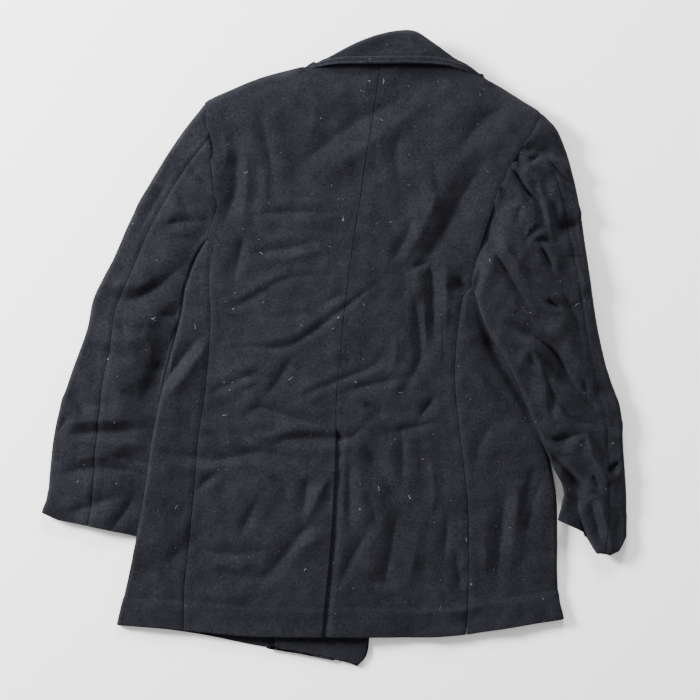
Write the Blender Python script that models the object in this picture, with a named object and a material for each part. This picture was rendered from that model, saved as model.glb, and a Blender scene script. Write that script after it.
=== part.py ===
"""A pea coat laid face down, its back uppermost: the cut pieces as closed cloth walls.

+Z is up off the surface, +Y runs towards the collar and +X towards the coat's right sleeve.
The tables are in millimetres, and MM turns them into Blender's metres.
"""

import math
from bisect import bisect_right

import bmesh
import bpy
from mathutils import Vector

MM = 0.001

# Driving dimensions
CLOTH = 2.5  # heavy melton
COLLAR_CLOTH = 4.5  # upper and under collar, bagged out together; thinner where the band is creased hard
HALF_GAP = 0.2  # each piece stops this far short of its seam
ARMHOLE_GAP = 1.1
LAYER_GAP = 0.5  # clear air between two layers that lie on each other
FACING_GAP = 0.7
RIGHT_FRONT_GAP = 0.9
ARMPIT = 0.3  # row station of the armpit on every torso rail, from 0 at the shoulder to 1 at the hem
TORSO_ROWS = (0, 0.004, 0.01, 0.02, 0.045, 0.08, 0.12, 0.16, 0.2, 0.24, 0.272, ARMPIT)
ROWS_BELOW_ARMPIT = 20
BACK_COLUMNS = 12
FRONT_COLUMNS = 8
BUTTON_RADIUS = 14.0
BUTTON_THICKNESS = 4.0
BUTTON_ROWS_Y = (158, 48, -62)
BUTTON_OFFSET = 46  # each column's distance from the centre front
VENT_TOP_Y = -131
VENT_GAP = 1.2  # air between the vent's two layers
VENT_SEAM_COLUMNS = (10, 6, 3, 0)  # the right back's last columns, short of the centre seam
VENT_OPEN_COLUMNS = (2, -12, -25, -38)  # the same columns below the vent's top, reaching under the left back
UNDER_TURN = 45  # how far a side panel reaches under the coat, in from the fold
THINNEST_FOLD = 6.6  # the least height over a fold in the cloth
SLEEVE_ROWS = 23
UPPER_COLUMNS = 5
UNDERSIDE_SHARES = (0.2, 0.35, 0.5, 0.65, 0.8)  # the under face's columns between its fold and its seam

# Seams and edges, as (x, y) from the shoulder down
CENTRE_ABOVE = ((66, 404), (61, 373), (54, 325), (44, 264), (36, 209), (28, 159))
CENTRE_BELOW = (
    (28, 159), (21, 107), (14, 53), (9, -1), (3, -69), (2, -131),
    (-1, -205), (-6, -280), (-12, -341), (-17, -393),
)
ARMHOLE_LEFT = ((-177, 336), (-172, 291), (-167, 246), (-163, 207), (-166, 177), (-173, 149))
ARMHOLE_RIGHT = ((281, 322), (270, 294), (248, 261), (229, 224), (214, 185), (202, 148), (194, 118), (187, 90))
SIDE_SEAM_LEFT = (
    (-163, 145), (-169, 118), (-171, 87), (-169, 39), (-171, -1),
    (-177, -63), (-186, -124), (-192, -199), (-199, -267), (-205, -328), (-206, -384),
)
EDGE_LEFT = (
    (-175, 145), (-191, 122), (-203, 87), (-207, 53), (-215, 19), (-224, -15), (-232, -49),
    (-239, -83), (-247, -124), (-255, -171), (-263, -219), (-271, -262), (-282, -314), (-292, -355), (-297, -377),
)
SIDE_SEAM_RIGHT = (
    (188, 88), (175, 71), (169, 39), (165, -1), (164, -49), (169, -103),
    (176, -158), (182, -219), (183, -280), (182, -341), (180, -390),
)
EDGE_RIGHT = (
    (235, 86), (245, 50), (258, 5), (270, -49), (284, -110), (297, -167),
    (303, -205), (304, -260), (304, -307), (307, -344), (313, -369),
)

# Ends of the torso, as (x, y) from the side to the centre
SHOULDER_LEFT = ((-177, 336), (-163, 344), (-135, 356), (-101, 369), (-67, 377), (-45, 380.5))
NECK_LEFT = ((-45, 380.5), (-33, 379), (-16, 384), (8, 393), (38, 401), (66, 404))
SHOULDER_RIGHT = ((281, 322), (252, 341), (225, 358), (211, 364.5))
NECK_RIGHT = ((211, 364.5), (198, 363), (184, 371.3), (160, 384.5), (130, 395), (98, 402), (66, 404))
HEM_BACK_LEFT = ((-206, -384), (-160, -388), (-115, -392), (-60, -393), (-17, -393))
HEM_BACK_RIGHT = ((180, -390), (130, -394), (48, -395), (-17, -395))

# The fronts, under the back
FRONT_LEFT_HEM = ((-252, -383), (-183, -392), (-115, -405), (-47, -416), (14, -428), (31, -434))
FRONT_LEFT_EDGE = ((105, 196), (99, 140), (86, 12), (73, -137), (59, -287), (48, -385), (44, -418), (31, -434))
FRONT_RIGHT_EDGE = ((-41, 196), (-46, 140), (-53, 50), (-63, -69), (-77, -233), (-90, -372))
FRONT_RIGHT_HEM = ((268, -368), (180, -374), (60, -377), (-90, -372))

# Height of the back's outer face, as (y, over the centre seam, towards the sides)
BACK_HEIGHTS = (
    (-400, 14.5, 10), (-360, 17, 12), (-300, 19.5, 13.5), (-100, 22, 15), (60, 22.5, 17),
    (140, 23.5, 20), (200, 24, 23), (300, 25, 27), (350, 25, 25), (405, 23, 22),
)
CROWN_HALF_WIDTH = 175
CENTRE_X_AT_ZERO = 10
CENTRE_LEAN = 0.103  # the centre seam's x for each millimetre of y

# The fold at each side, as (y, lower face, upper face)
FOLD_LEFT = (
    (-400, 0, 10), (-340, 0, 11), (-300, 3, 15), (-262, 8.5, 19.5), (-160, 8.5, 20), (-60, 8.5, 20),
    (-20, 3, 17), (30, 0, 15), (90, 0, 17), (150, 0, 19.5),
)
FOLD_RIGHT = ((-400, 0, 10), (-340, 0, 11), (-200, 0, 12.5), (0, 0, 13.5), (90, 0, 15))

# The largest folds of the torso: a ridge, or a trough where the height is negative
TORSO_FOLDS = (
    # x0, y0, x1, y1, half width, height
    (98, 352, 10, 300, 16, -3.5),
    (10, 300, -70, 228, 14, -3.2),
    (60, 318, -30, 246, 13, 2.2),
    (225, 332, 168, 268, 14, -4.0),
    (204, 256, 172, 198, 15, -5.0),
    (172, 198, 128, 118, 17, -5.5),
    (150, 226, 96, 132, 16, 3.0),
    (132, 122, 134, 66, 11, -5.0),
    (134, 66, 144, -2, 10, -4.5),
    (112, 60, 112, -20, 8, -2.4),
    (124, 40, 128, -10, 7, 2.6),
    (-100, 353, -72, 226, 12, -2.2),
    (-136, 284, -140, 158, 10, -2.8),
    (-118, 270, -120, 120, 12, 2.2),
    (-150, -1, 14, 55, 9, -1.8),
    (-180, -58, -98, -22, 8, -1.8),
    (-236, -70, -176, 8, 12, -2.6),
    (-220, -100, -184, -40, 12, 2.2),
    (-100, -132, 26, -120, 8, -2.0),
    (-242, -140, -30, -148, 9, -1.8),
    (24, -122, 60, -88, 9, -2.8),
    (34, -120, 60, -172, 15, -4.2),
    (60, -172, 104, -232, 15, -2.8),
    (46, -92, 96, -176, 14, 2.6),
    (230, -186, 224, -330, 8, -2.6),
    (154, -222, 148, -306, 8, -2.4),
    (88, -232, 62, -342, 9, -2.4),
    (46, -246, 8, -320, 9, -2.4),
    (254, -150, 256, -262, 9, -2.6),
    (282, -160, 262, -262, 9, -2.2),
    (-106, -204, -132, -258, 9, -2.0),
    (-40, -240, -96, -306, 12, -2.6),
    (-22, -258, -80, -330, 14, 2.2),
    (-190, -262, -232, -312, 16, -2.6),
    (-190, -168, -156, -176, 10, -2.0),
    (130, -296, 160, -352, 14, -2.6),
    (40, -30, 96, -4, 8, -1.8),
    (80, -108, 140, -96, 8, -2.0),
    (106, -90, 136, -62, 7, -1.8),
)

# Sleeve sections from armhole to cuff: the outer and inner edge, and the upper face's height at the
# outer edge, the middle and the inner edge
LEFT_SLEEVE = (
    # outer x, y, inner x, y, height at outer, middle, inner
    (-177, 336, -177, 151, 25, 26, 19),
    (-210, 294, -188.5, 134, 23, 25, 18),
    (-244, 241, -199, 112, 21, 24, 17),
    (-275, 184, -205, 84, 19, 23, 16),
    (-303, 120, -208.5, 53, 18, 21, 15),
    (-328, 71, -216.5, 19, 16, 20, 13),
    (-338, 26, -225.5, -15, 15, 19, 11),
    (-360, -35, -235.5, -56, 14, 18, 7.2),
    (-379, -97, -238, -103, 13, 16, 7.2),
    (-387, -151, -245, -158, 13, 15, 7.2),
    (-392, -201, -253, -212, 12, 14, 7.2),
    (-398, -224, -261, -258, 12, 14, 7.2),
)
RIGHT_SLEEVE = (
    (281, 322, 187, 92, 25, 27, 27),
    (301, 302, 191, 78, 24, 30, 31),
    (312, 280, 196, 60, 23, 32, 34),
    (323, 246, 203, 39, 22, 32, 34),
    (334, 196, 214, 16, 21, 31, 34),
    (341, 148, 231, -12, 20, 30, 33),
    (349, 94, 248, -45, 20, 29, 31),
    (358, 33, 263, -80, 19, 27, 29),
    (372, -29, 280, -121, 18, 26, 27),
    (390, -83, 298, -156, 17, 24, 23),
    (394, -137, 314, -190, 16, 22, 16),
    (398, -199, 309, -214, 15, 20, 8),
    (398, -262, 304, -233, 13, 17, 6.4),
)
# Along each sleeve, the share across its upper face where the back seam runs, and across its under face
# where the front seam runs
LEFT_SEAMS = ((0, 0.267, 0.9), (0.45, 0.27, 0.87), (0.7, 0.4, 0.87), (1, 0.45, 0.87))
RIGHT_SEAMS = ((0, 0.267, 0.9), (0.1, 0.14, 0.87), (0.5, 0.14, 0.87), (1, 0.3, 0.87))
# How far the cuff's hem dips below the line between its two edges, by the share across
LEFT_CUFF_DROP = ((0, 0), (0.15, -4), (0.5, -2), (1, 0))
RIGHT_CUFF_DROP = ((0, 0), (0.12, -16), (0.24, -24), (0.44, -28), (0.56, -12), (0.62, -6), (1, 0))
# The right cuff's upper layer folds back along this line, and the under layer shows beyond it
CUFF_STEP = ((313, -190), (357, -277))
CUFF_STEP_LEVEL = 7.0
LEFT_SLEEVE_FOLDS = (
    (-312, 72, -222, 116, 13, -4.0),
    (-310, 96, -236, 148, 13, 2.4),
    (-236, 246, -170, 208, 10, -2.4),
    (-228, 166, -182, 168, 8, -2.6),
    (-250, 14, -246, -56, 16, -4.5),
    (-372, -112, -256, -108, 10, -4.0),
    (-370, -84, -268, -80, 12, 2.4),
    (-318, -142, -248, -160, 9, -2.6),
    (-366, -50, -338, -96, 9, -2.6),
    (-376, -172, -256, -172, 9, -2.0),
    (-366, -222, -268, -192, 9, -1.8),
    (-314, 6, -272, -20, 10, -2.2),
)
RIGHT_SLEEVE_FOLDS = (
    (240, 258, 318, 258, 11, -4.5),
    (238, 250, 282, 198, 8, -3.8),
    (256, 232, 292, 176, 8, 3.2),
    (206, 150, 246, 96, 10, -4.0),
    (246, 96, 262, 50, 10, -3.4),
    (222, 146, 268, 78, 10, 3.0),
    (286, 150, 302, 112, 8, -3.6),
    (296, 172, 338, 172, 13, -5.0),
    (224, 36, 300, 10, 9, -3.6),
    (300, 10, 346, -66, 10, -6.0),
    (346, -66, 386, -106, 8, -4.0),
    (268, 30, 336, -62, 10, 3.6),
    (290, -20, 322, -90, 10, 4.0),
    (288, -118, 344, -124, 12, -4.0),
    (300, -144, 352, -190, 9, -3.6),
    (290, -132, 356, -200, 9, 3.4),
    (334, -100, 368, -206, 9, 3.4),
    (370, -154, 392, -146, 8, -3.0),
    (346, -180, 372, -196, 8, -3.4),
    (324, 104, 350, 10, 9, -3.0),
)

# The collar from the left front end, round the back, to the right front end: the neck seam, the roll
# and the free edge as x, y and height, and the direction from the stand to the fall
COLLAR = (
    # neck x, y, z, roll x, y, z, free edge x, y, z, direction x, y, z, the roll's radius
    (-22, 328, 9, 11, 338, 7.5, -64, 334, 0.2, 0, 0, -1, 7.5),
    (-30, 350, 11.5, -2, 364, 7.5, -66, 352, 0.2, 0, 0, -1, 7.5),
    (-28, 368, 12.5, -7, 376, 7, -50, 366, 0.3, -0.05, 0.15, -1, 6.2),
    (-30, 377, 12, -18, 382, 9.5, -43, 373.5, 5, -0.02, 0.07, -1, 4.2),
    (-33.7, 381.4, 12.9, -25.2, 386.7, 12.1, -37.1, 379.3, 10, 0, 0, -1, 2.6),
    (-34.7, 383, 13.7, -26.5, 388.7, 13.1, -39.2, 382.6, 11.6, -0.375, 0.6, -0.707, 2.6),
    (-35.1, 383.6, 15.5, -27, 389.6, 15.5, -40, 384, 15.5, -0.53, 0.85, 0, 2.6),
    (-34.7, 383, 17.3, -26.5, 388.7, 17.9, -39.2, 382.6, 19.4, -0.375, 0.6, 0.707, 2.6),
    (-33.7, 381.4, 18.1, -25.2, 386.7, 18.9, -37.1, 379.3, 21, 0, 0, 1, 2.6),
    (-23.5, 384.2, 19.6, -16, 393, 22.5, -25, 382.8, 25, 0, 0.1, 1, 3.2),
    (-13.5, 386.6, 20.6, -7, 396.5, 25.5, -15, 384, 29.5, 0, 0.1, 1, 4.2),
    (2, 392.2, 21.6, 9.5, 405.3, 28, 0, 385.5, 32, 0, 0.05, 1, 5.8),
    (20, 397.8, 22.6, 29, 415, 29.5, 20, 386, 33.5, 0, 0, 1, 7),
    (46, 404, 23.3, 56, 425.2, 30.5, 46, 386, 35, 0, 0, 1, 7.5),
    (76, 405.5, 23.8, 86, 431.5, 31, 78, 386, 36, 0, 0, 1, 7.5),
    (106, 404, 24, 110, 430.5, 31, 110, 386, 36, 0, 0, 1, 7.5),
    (131, 399.5, 24, 131, 417.5, 30, 137, 385, 35, 0, 0, 1, 7.2),
    (151, 393.5, 23, 149, 404.7, 28.5, 157, 383, 34, 0, 0.05, 1, 6),
    (167, 383.2, 21.6, 163.5, 394.4, 26, 171, 379.5, 31, 0, 0.1, 1, 4.6),
    (181.3, 377, 20, 178.5, 387.3, 22.8, 183.5, 376.3, 26.5, 0, 0.1, 1, 3.4),
    (187.4, 374, 19.2, 187, 382.3, 20.8, 188.4, 371.6, 23.6, 0, 0.05, 1, 2.9),
    (197.9, 367.7, 18.1, 194, 372.2, 18.9, 199.9, 365.4, 21, 0, 0, 1, 2.6),
    (199.3, 368.9, 17.3, 195.8, 373.8, 17.9, 202.8, 368, 19.4, 0.53, 0.467, 0.707, 2.6),
    (199.9, 369.4, 15.5, 196.5, 374.4, 15.5, 204, 369, 15.5, 0.75, 0.66, 0, 2.6),
    (199.3, 368.9, 13.7, 195.8, 373.8, 13.1, 202.8, 368, 11.6, 0.53, 0.467, -0.707, 2.6),
    (197.9, 367.7, 12.9, 194, 372.2, 12.1, 199.9, 365.4, 10, 0, 0, -1, 2.6),
    (192, 363.5, 12, 181, 372, 9.5, 205.5, 360.5, 5, 0.03, 0.05, -1, 4.2),
    (194, 355, 13, 167, 368, 7.5, 216, 350, 0.5, 0.05, 0.1, -1, 6.2),
    (196, 341, 12.5, 160, 355, 7.5, 230, 335, 0.2, 0, 0, -1, 7.5),
    (192, 318, 9, 134, 330, 7.5, 236, 312, 0.2, 0, 0, -1, 7.5),
)

# The left front's edge and its lapel's roll from the hem up, as (y, x)
LEFT_EDGE_UPWARDS = ((-434, 31), (-385, 48), (-137, 73), (12, 86), (196, 105), (262, 56), (382, -36))

# Where each front's neck corner is lifted by the collar beneath it
NECK_CORNERS = ((-42, 374), (206, 360))
CORNER_LIFT = 5.0
CORNER_REACH = 13.0

# Each lapel's outline, turned out under its front
LAPEL_LEFT = ((100, 206), (46, 268), (6, 322), (-64, 322), (-74, 306), (-20, 214), (70, 200))
LAPEL_RIGHT = ((68, 262), (142, 314), (228, 300), (238, 286), (165, 205), (110, 206))

MELTON_COLOUR = (0.026, 0.028, 0.038, 1)
BUTTON_COLOUR = (0.012, 0.012, 0.014, 1)


def ease(value):
    """0 up to 0, 1 from 1 on, and a smooth step between."""
    held = min(1.0, max(0.0, value))
    return held * held * (3 - 2 * held)


def spline(table, station):
    """A smooth curve through rows whose first column is the station, read at one station."""
    keys = [row[0] for row in table]
    i = min(max(bisect_right(keys, station) - 1, 0), len(table) - 2)
    here, there = table[i], table[i + 1]
    before, after = table[max(i - 1, 0)], table[min(i + 2, len(table) - 1)]
    span = there[0] - here[0]
    u = min(1.0, max(0.0, (station - here[0]) / span))
    found = []
    for a, b, c, d in zip(before[1:], here[1:], there[1:], after[1:]):
        leave = (c - a) / max(there[0] - before[0], 1e-9) * span
        arrive = (d - b) / max(after[0] - here[0], 1e-9) * span
        found.append(
            b * (2 * u**3 - 3 * u**2 + 1) + leave * (u**3 - 2 * u**2 + u)
            + c * (3 * u**2 - 2 * u**3) + arrive * (u**3 - u**2)
        )
    return found


def linear(table, station):
    """The straight-line reading of a table at one station."""
    keys = [row[0] for row in table]
    i = min(max(bisect_right(keys, station) - 1, 0), len(table) - 2)
    u = min(1.0, max(0.0, (station - table[i][0]) / (table[i + 1][0] - table[i][0])))
    return [a + (b - a) * u for a, b in zip(table[i][1:], table[i + 1][1:])]


def by_length(points, start=0.0, end=1.0):
    """The points as table rows whose stations run from start to end with the distance along them."""
    reach = [0.0]
    for a, b in zip(points, points[1:]):
        reach.append(reach[-1] + math.dist(a, b))
    return [(start + (end - start) * r / reach[-1], *p) for r, p in zip(reach, points)]


def rail(above, below):
    """A torso rail in two stretches that meet at the armpit's station."""
    return by_length(above, 0, ARMPIT), by_length(below, ARMPIT, 1)


def on_rail(stretches, station):
    """The point of a two-stretch rail at a row's station."""
    return Vector(spline(stretches[0] if station < ARMPIT else stretches[1], station))


def folds_at(table, x, y):
    """The summed height of the soft folds at a point."""
    total = 0.0
    for x0, y0, x1, y1, half_width, height in table:
        run = Vector((x1 - x0, y1 - y0))
        along = ((x - x0) * run.x + (y - y0) * run.y) / run.length_squared
        near = min(1.0, max(0.0, along))
        off = math.hypot(x - x0 - run.x * near, y - y0 - run.y * near)
        fade = 0.35 + 0.65 * math.sin(math.pi * near)
        total += height * fade * math.exp(-((off / half_width) ** 2))
    return total


def flat_back_height(x, y):
    """Height of the back's outer face before its folds."""
    over_centre, at_sides = spline(BACK_HEIGHTS, y)
    away = abs(x - CENTRE_X_AT_ZERO - CENTRE_LEAN * y) / CROWN_HALF_WIDTH
    return at_sides + (over_centre - at_sides) * ease(1 - away)


def back_height(x, y):
    """Height of the back's outer face."""
    return flat_back_height(x, y) + folds_at(TORSO_FOLDS, x, y)


def torso_rows():
    """The stations that all torso pieces share."""
    step = (1 - ARMPIT) / ROWS_BELOW_ARMPIT
    return list(TORSO_ROWS) + [ARMPIT + step * (i + 1) for i in range(ROWS_BELOW_ARMPIT)]


def patch_point(left, right, top, bottom, s, t):
    """A point of the surface stretched between four edges, in plan."""
    corners = (
        top(0) * (1 - s) * (1 - t) + top(1) * s * (1 - t)
        + bottom(0) * (1 - s) * t + bottom(1) * s * t
    )
    return left(t) * (1 - s) + right(t) * s + top(s) * (1 - t) + bottom(s) * t - corners


def down_from(top, edges, s):
    """The plan direction in which a piece leaves its shoulder, between its four edges."""
    return (patch_point(*edges, s, TORSO_ROWS[3]) - top).normalized()


def skin(outer, inner):
    """One grid point: where the cloth's outer face is, and its inner face behind it."""
    return Vector(outer), Vector(inner)


def pull_back(grid):
    """Moves each border of a grid in by half a seam gap."""

    def towards(point, neighbour):
        step = neighbour[0] - point[0]
        flat = step.normalized() * HALF_GAP if step.length > 1e-6 else step
        return point[0] + flat, point[1] + flat

    for row in grid:
        row[0], row[-1] = towards(row[0], row[1]), towards(row[-1], row[-2])
    grid[0] = [towards(a, b) for a, b in zip(grid[0], grid[1])]
    grid[-1] = [towards(a, b) for a, b in zip(grid[-1], grid[-2])]
    return grid


def melton(name, colour, roughness):
    """A plain finish."""
    finish = bpy.data.materials.new(name)
    finish.use_nodes = True
    shader = finish.node_tree.nodes["Principled BSDF"]
    shader.inputs["Base Color"].default_value = colour
    shader.inputs["Roughness"].default_value = roughness
    shader.inputs["Metallic"].default_value = 0
    return finish


def add_solid(name, mesh, finish):
    """Puts a closed bmesh into the scene as one named piece, its faces pointing out."""
    bmesh.ops.recalc_face_normals(mesh, faces=mesh.faces)
    data = bpy.data.meshes.new(name)
    mesh.to_mesh(data)
    mesh.free()
    data.shade_smooth()
    data.set_sharp_from_angle(angle=math.radians(50))
    data.materials.append(finish)
    piece = bpy.data.objects.new(name, data)
    bpy.context.scene.collection.objects.link(piece)
    return piece


def cloth_wall(name, grid, finish):
    """A closed wall from a grid of skin points: two faces and the four cut edges between them."""
    mesh = bmesh.new()
    faces = [[[mesh.verts.new(point[side] * MM) for point in row] for row in grid] for side in (0, 1)]
    outer, inner = faces
    for side in faces:
        for a, b in zip(side, side[1:]):
            for j in range(len(a) - 1):
                mesh.faces.new((a[j], a[j + 1], b[j + 1], b[j]))

    def edge(a, b):
        for j in range(len(a) - 1):
            mesh.faces.new((a[j], a[j + 1], b[j + 1], b[j]))

    edge(outer[0], inner[0])
    edge(outer[-1], inner[-1])
    edge([row[0] for row in outer], [row[0] for row in inner])
    edge([row[-1] for row in outer], [row[-1] for row in inner])
    return add_solid(name, mesh, finish)


def rounded(edge_point, inward, low, high, reach, below=False):
    """A skin point on the half-round that joins an upper face at high to a lower face at low.

    edge_point is where the round reaches furthest, inward the plan direction away from it, and reach the
    distance in from the edge. Past the round's radius the point lies on the flat face.
    """
    radius = (high - low) / 2
    side = -1 if below else 1
    if reach >= radius:
        base = edge_point + inward * reach
        outer = Vector((base.x, base.y, low if below else high))
        return skin(outer, outer - Vector((0, 0, side * CLOTH)))
    lean = math.acos(max(0.0, 1 - reach / radius))
    centre = edge_point + inward * radius
    out = Vector((-inward.x * math.cos(lean), -inward.y * math.cos(lean), side * math.sin(lean)))
    middle = Vector((centre.x, centre.y, low + radius))
    return skin(middle + out * radius, middle + out * (radius - CLOTH))


def back_columns(t, side, centre, opening):
    """The shares across a back piece at a row: even ones, and the vent's own where it has a vent."""
    if not opening:
        return [j / BACK_COLUMNS for j in range(BACK_COLUMNS + 1)]
    width = (on_rail(centre, t) - on_rail(side, t)).length
    last = 1 - 14 / width
    return [last * j / (BACK_COLUMNS - 2) for j in range(BACK_COLUMNS - 1)] + [1 - x / width for x in opening]


def back_piece(name, armhole_points, seam, shoulder, neck, hem, finish, vent=False):
    """One half of the back, from its armhole and side seam to the centre seam."""
    side, centre = rail(armhole_points, seam), rail(CENTRE_ABOVE, CENTRE_BELOW)
    crest, bottom = by_length(shoulder + neck[1:]), by_length(hem)
    neck_station = crest[len(shoulder) - 1][0]
    rows = torso_rows()
    first_open = next(i for i, t in enumerate(rows) if on_rail(centre, t).y < VENT_TOP_Y)
    edges = (
        lambda u: on_rail(side, u), lambda u: on_rail(centre, u),
        lambda u: Vector(spline(crest, u)), lambda u: Vector(spline(bottom, u)),
    )
    grid = []
    for i, t in enumerate(rows):
        opening = (VENT_OPEN_COLUMNS if i >= first_open else VENT_SEAM_COLUMNS) if vent else ()
        row = []
        for j, share in enumerate(back_columns(t, side, centre, opening)):
            s = min(share, 1.0)
            plan = patch_point(*edges, s, t)
            plan = plan + (on_rail(centre, t) - on_rail(side, t)) * max(0.0, share - 1)
            top = Vector(spline(crest, s))
            reach = (plan - top).length
            high, flat = back_height(plan.x, plan.y), flat_back_height(top.x, top.y)
            if vent and i >= first_open - 1 and j >= BACK_COLUMNS - 1:
                high -= CLOTH + VENT_GAP
            level = skin((plan.x, plan.y, high), (plan.x, plan.y, high - CLOTH))
            over_shoulder = ease((neck_station - s) / 0.12 + 0.1)
            if reach < high - flat / 2 and over_shoulder > 0:
                turned = rounded(top, down_from(top, edges, s), flat - high, high, reach)
                level = tuple(f.lerp(r, over_shoulder) for f, r in zip(level, turned))
            row.append(level)
        grid.append(row)
    return cloth_wall(name, pull_back(grid), finish)


def side_piece(name, seam, edge, fold, finish):
    """A side panel, from the back's side seam round the fold and under to the front."""
    seam_rail, edge_rail = by_length(seam, ARMPIT, 1), by_length(edge, ARMPIT, 1)
    grid = []
    for t in [u for u in torso_rows() if u >= ARMPIT]:
        inner, outer = Vector(spline(seam_rail, t)), Vector(spline(edge_rail, t))
        inward = (inner - outer).normalized()
        width = (inner - outer).length
        low, edge_high = (max(0.0, level) for level in spline(fold, outer.y))
        radius = (edge_high - low) / 2
        row = []
        for share in (1.0, 0.75, 0.5, 0.25, 0.0):
            reach = radius + (width - radius) * share
            plan = outer + inward * reach
            seam_high = back_height(plan.x, plan.y)
            high = edge_high + (seam_high - edge_high) * ease(share)
            row.append(skin((plan.x, plan.y, high), (plan.x, plan.y, high - CLOTH)))
        for turn in (0.62, 0.27, 0.0):
            row.append(rounded(outer, inward, low, edge_high, radius * turn))
        for turn in (0.27, 0.62, 1.0):
            row.append(rounded(outer, inward, low, edge_high, radius * turn, below=True))
        for reach in (radius + 12, (radius + 12 + UNDER_TURN) / 2 + 4, UNDER_TURN):
            level = low * ease((UNDER_TURN - reach) / (UNDER_TURN - radius - 12))
            plan = outer + inward * reach
            row.append(skin((plan.x, plan.y, level), (plan.x, plan.y, level + CLOTH)))
        grid.append(row)
    return cloth_wall(name, pull_back(grid), finish)


def within(x, y, box, ramp):
    """1 inside a plan box, falling to 0 over the ramp outside it."""
    x0, x1, y0, y1 = box
    across = min(ease((x - x0 + ramp) / ramp), ease((x1 + ramp - x) / ramp))
    return across * min(ease((y - y0 + ramp) / ramp), ease((y1 + ramp - y) / ramp))


def button_places():
    """The six buttons, in two columns beside the centre front, from the top row down."""
    for y in BUTTON_ROWS_Y:
        centre = CENTRE_X_AT_ZERO + CENTRE_LEAN * y + 8
        for side in (-1, 1):
            yield centre + side * BUTTON_OFFSET, y


def over_collar(x, y, corner):
    """How much further a front is held up at its neck corner, where the collar passes round it."""
    return CORNER_LIFT * math.exp(-((math.dist((x, y), corner) / CORNER_REACH) ** 2))


def left_front_lift(x, y):
    """How far the left front is held up by what lies beneath it."""
    above_hem = ease((y + 344) / 240)
    over_buttons = within(x, y, (-84, 112, -500, 500), 34) * (BUTTON_THICKNESS + LAYER_GAP) * above_hem
    over_lapel = within(x, y, (-84, 112, 190, 400), 40) * (COLLAR_CLOTH + LAYER_GAP)
    return max(over_buttons, over_lapel) + over_collar(x, y, NECK_CORNERS[0])


def right_front_lift(x, y):
    """How far the right front is held up by its own lapel, the left front and its facing."""
    edge = linear(LEFT_EDGE_UPWARDS, y)[0]
    over_left = ease((edge + 64 - x) / 40)
    crossed = over_left * (left_front_lift(min(x, edge - 10), y) + 2 * CLOTH + FACING_GAP + RIGHT_FRONT_GAP)
    over_lapel = within(x, y, (-20, 252, 190, 400), 40) * (COLLAR_CLOTH + LAYER_GAP)
    return max(crossed, over_lapel) + over_collar(x, y, NECK_CORNERS[1])


def front_piece(name, armhole_points, seam, edge, shoulder_points, front_edge, hem, lift, finish):
    """A front, from its armhole and underarm seam to its front edge and the lapel's roll."""
    armhole_rail = by_length(armhole_points, 0, ARMPIT)
    seam_rail, edge_rail = by_length(seam, ARMPIT, 1), by_length(edge, ARMPIT, 1)
    opening = by_length((shoulder_points[-1], front_edge[0]), 0, ARMPIT), by_length(front_edge, ARMPIT, 1)
    shoulder, bottom = by_length(shoulder_points), by_length(hem)
    beside_sleeve = (0, 0.0133, 0.0333, 0.0667) + UNDERSIDE_SHARES + (0.9,)
    rows = [share * ARMPIT for share in beside_sleeve] + torso_rows()[len(TORSO_ROWS) - 1:]

    def underarm(t):
        if t < ARMPIT:
            return Vector(spline(armhole_rail, t))
        outer, inner = Vector(spline(edge_rail, t)), Vector(spline(seam_rail, t))
        return outer + (inner - outer).normalized() * UNDER_TURN

    edges = (
        underarm, lambda u: on_rail(opening, u),
        lambda u: Vector(spline(shoulder, u)), lambda u: Vector(spline(bottom, u)),
    )
    grid = []
    for t in rows:
        row = []
        for j in range(FRONT_COLUMNS + 1):
            s = j / FRONT_COLUMNS
            plan = patch_point(*edges, s, t)
            top = Vector(spline(shoulder, s))
            reach = (plan - top).length
            level, flat = lift(plan.x, plan.y), flat_back_height(top.x, top.y)
            if reach < flat / 2 - level and t < 0.03:
                row.append(rounded(top, down_from(top, edges, s), level, flat - level, reach, below=True))
            else:
                row.append(skin((plan.x, plan.y, level), (plan.x, plan.y, level + CLOTH)))
        grid.append(row)
    return cloth_wall(name, pull_back(grid), finish)


def x_on(points, y):
    """Where a line that runs down the coat stands at a height y on the plan."""
    return linear([(-py, px) for px, py in points], -y)[0]


def body_beneath(x, y):
    """Height the right sleeve is held up by the body under it, falling away past the body's edge."""
    past_edge = max(0.0, x - x_on(EDGE_RIGHT, y))
    past_armpit = max(0.0, y - EDGE_RIGHT[0][1] - 2)
    share = ease(1 - (math.hypot(past_edge, past_armpit) - 10) / 34)
    return share * (flat_back_height(x, y) + 1.5)


def nothing_beneath(x, y):
    """The left sleeve lies on the surface."""
    return 0.0


def cuff_step(x, y, height):
    """The right sleeve's upper face near the cuff: its own height, or the under layer's beyond the fold."""
    start, end = Vector(CUFF_STEP[0]), Vector(CUFF_STEP[1])
    run = (end - start).normalized()
    off = Vector((x, y)) - start
    beyond = ease(0.5 - (off.x * -run.y + off.y * run.x) / 9) * ease((off.dot(run) + 5) / 15)
    return height - max(0.0, height - CUFF_STEP_LEVEL) * beyond


def no_step(x, y, height):
    """The left sleeve's upper face runs to its edge."""
    return height


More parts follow.
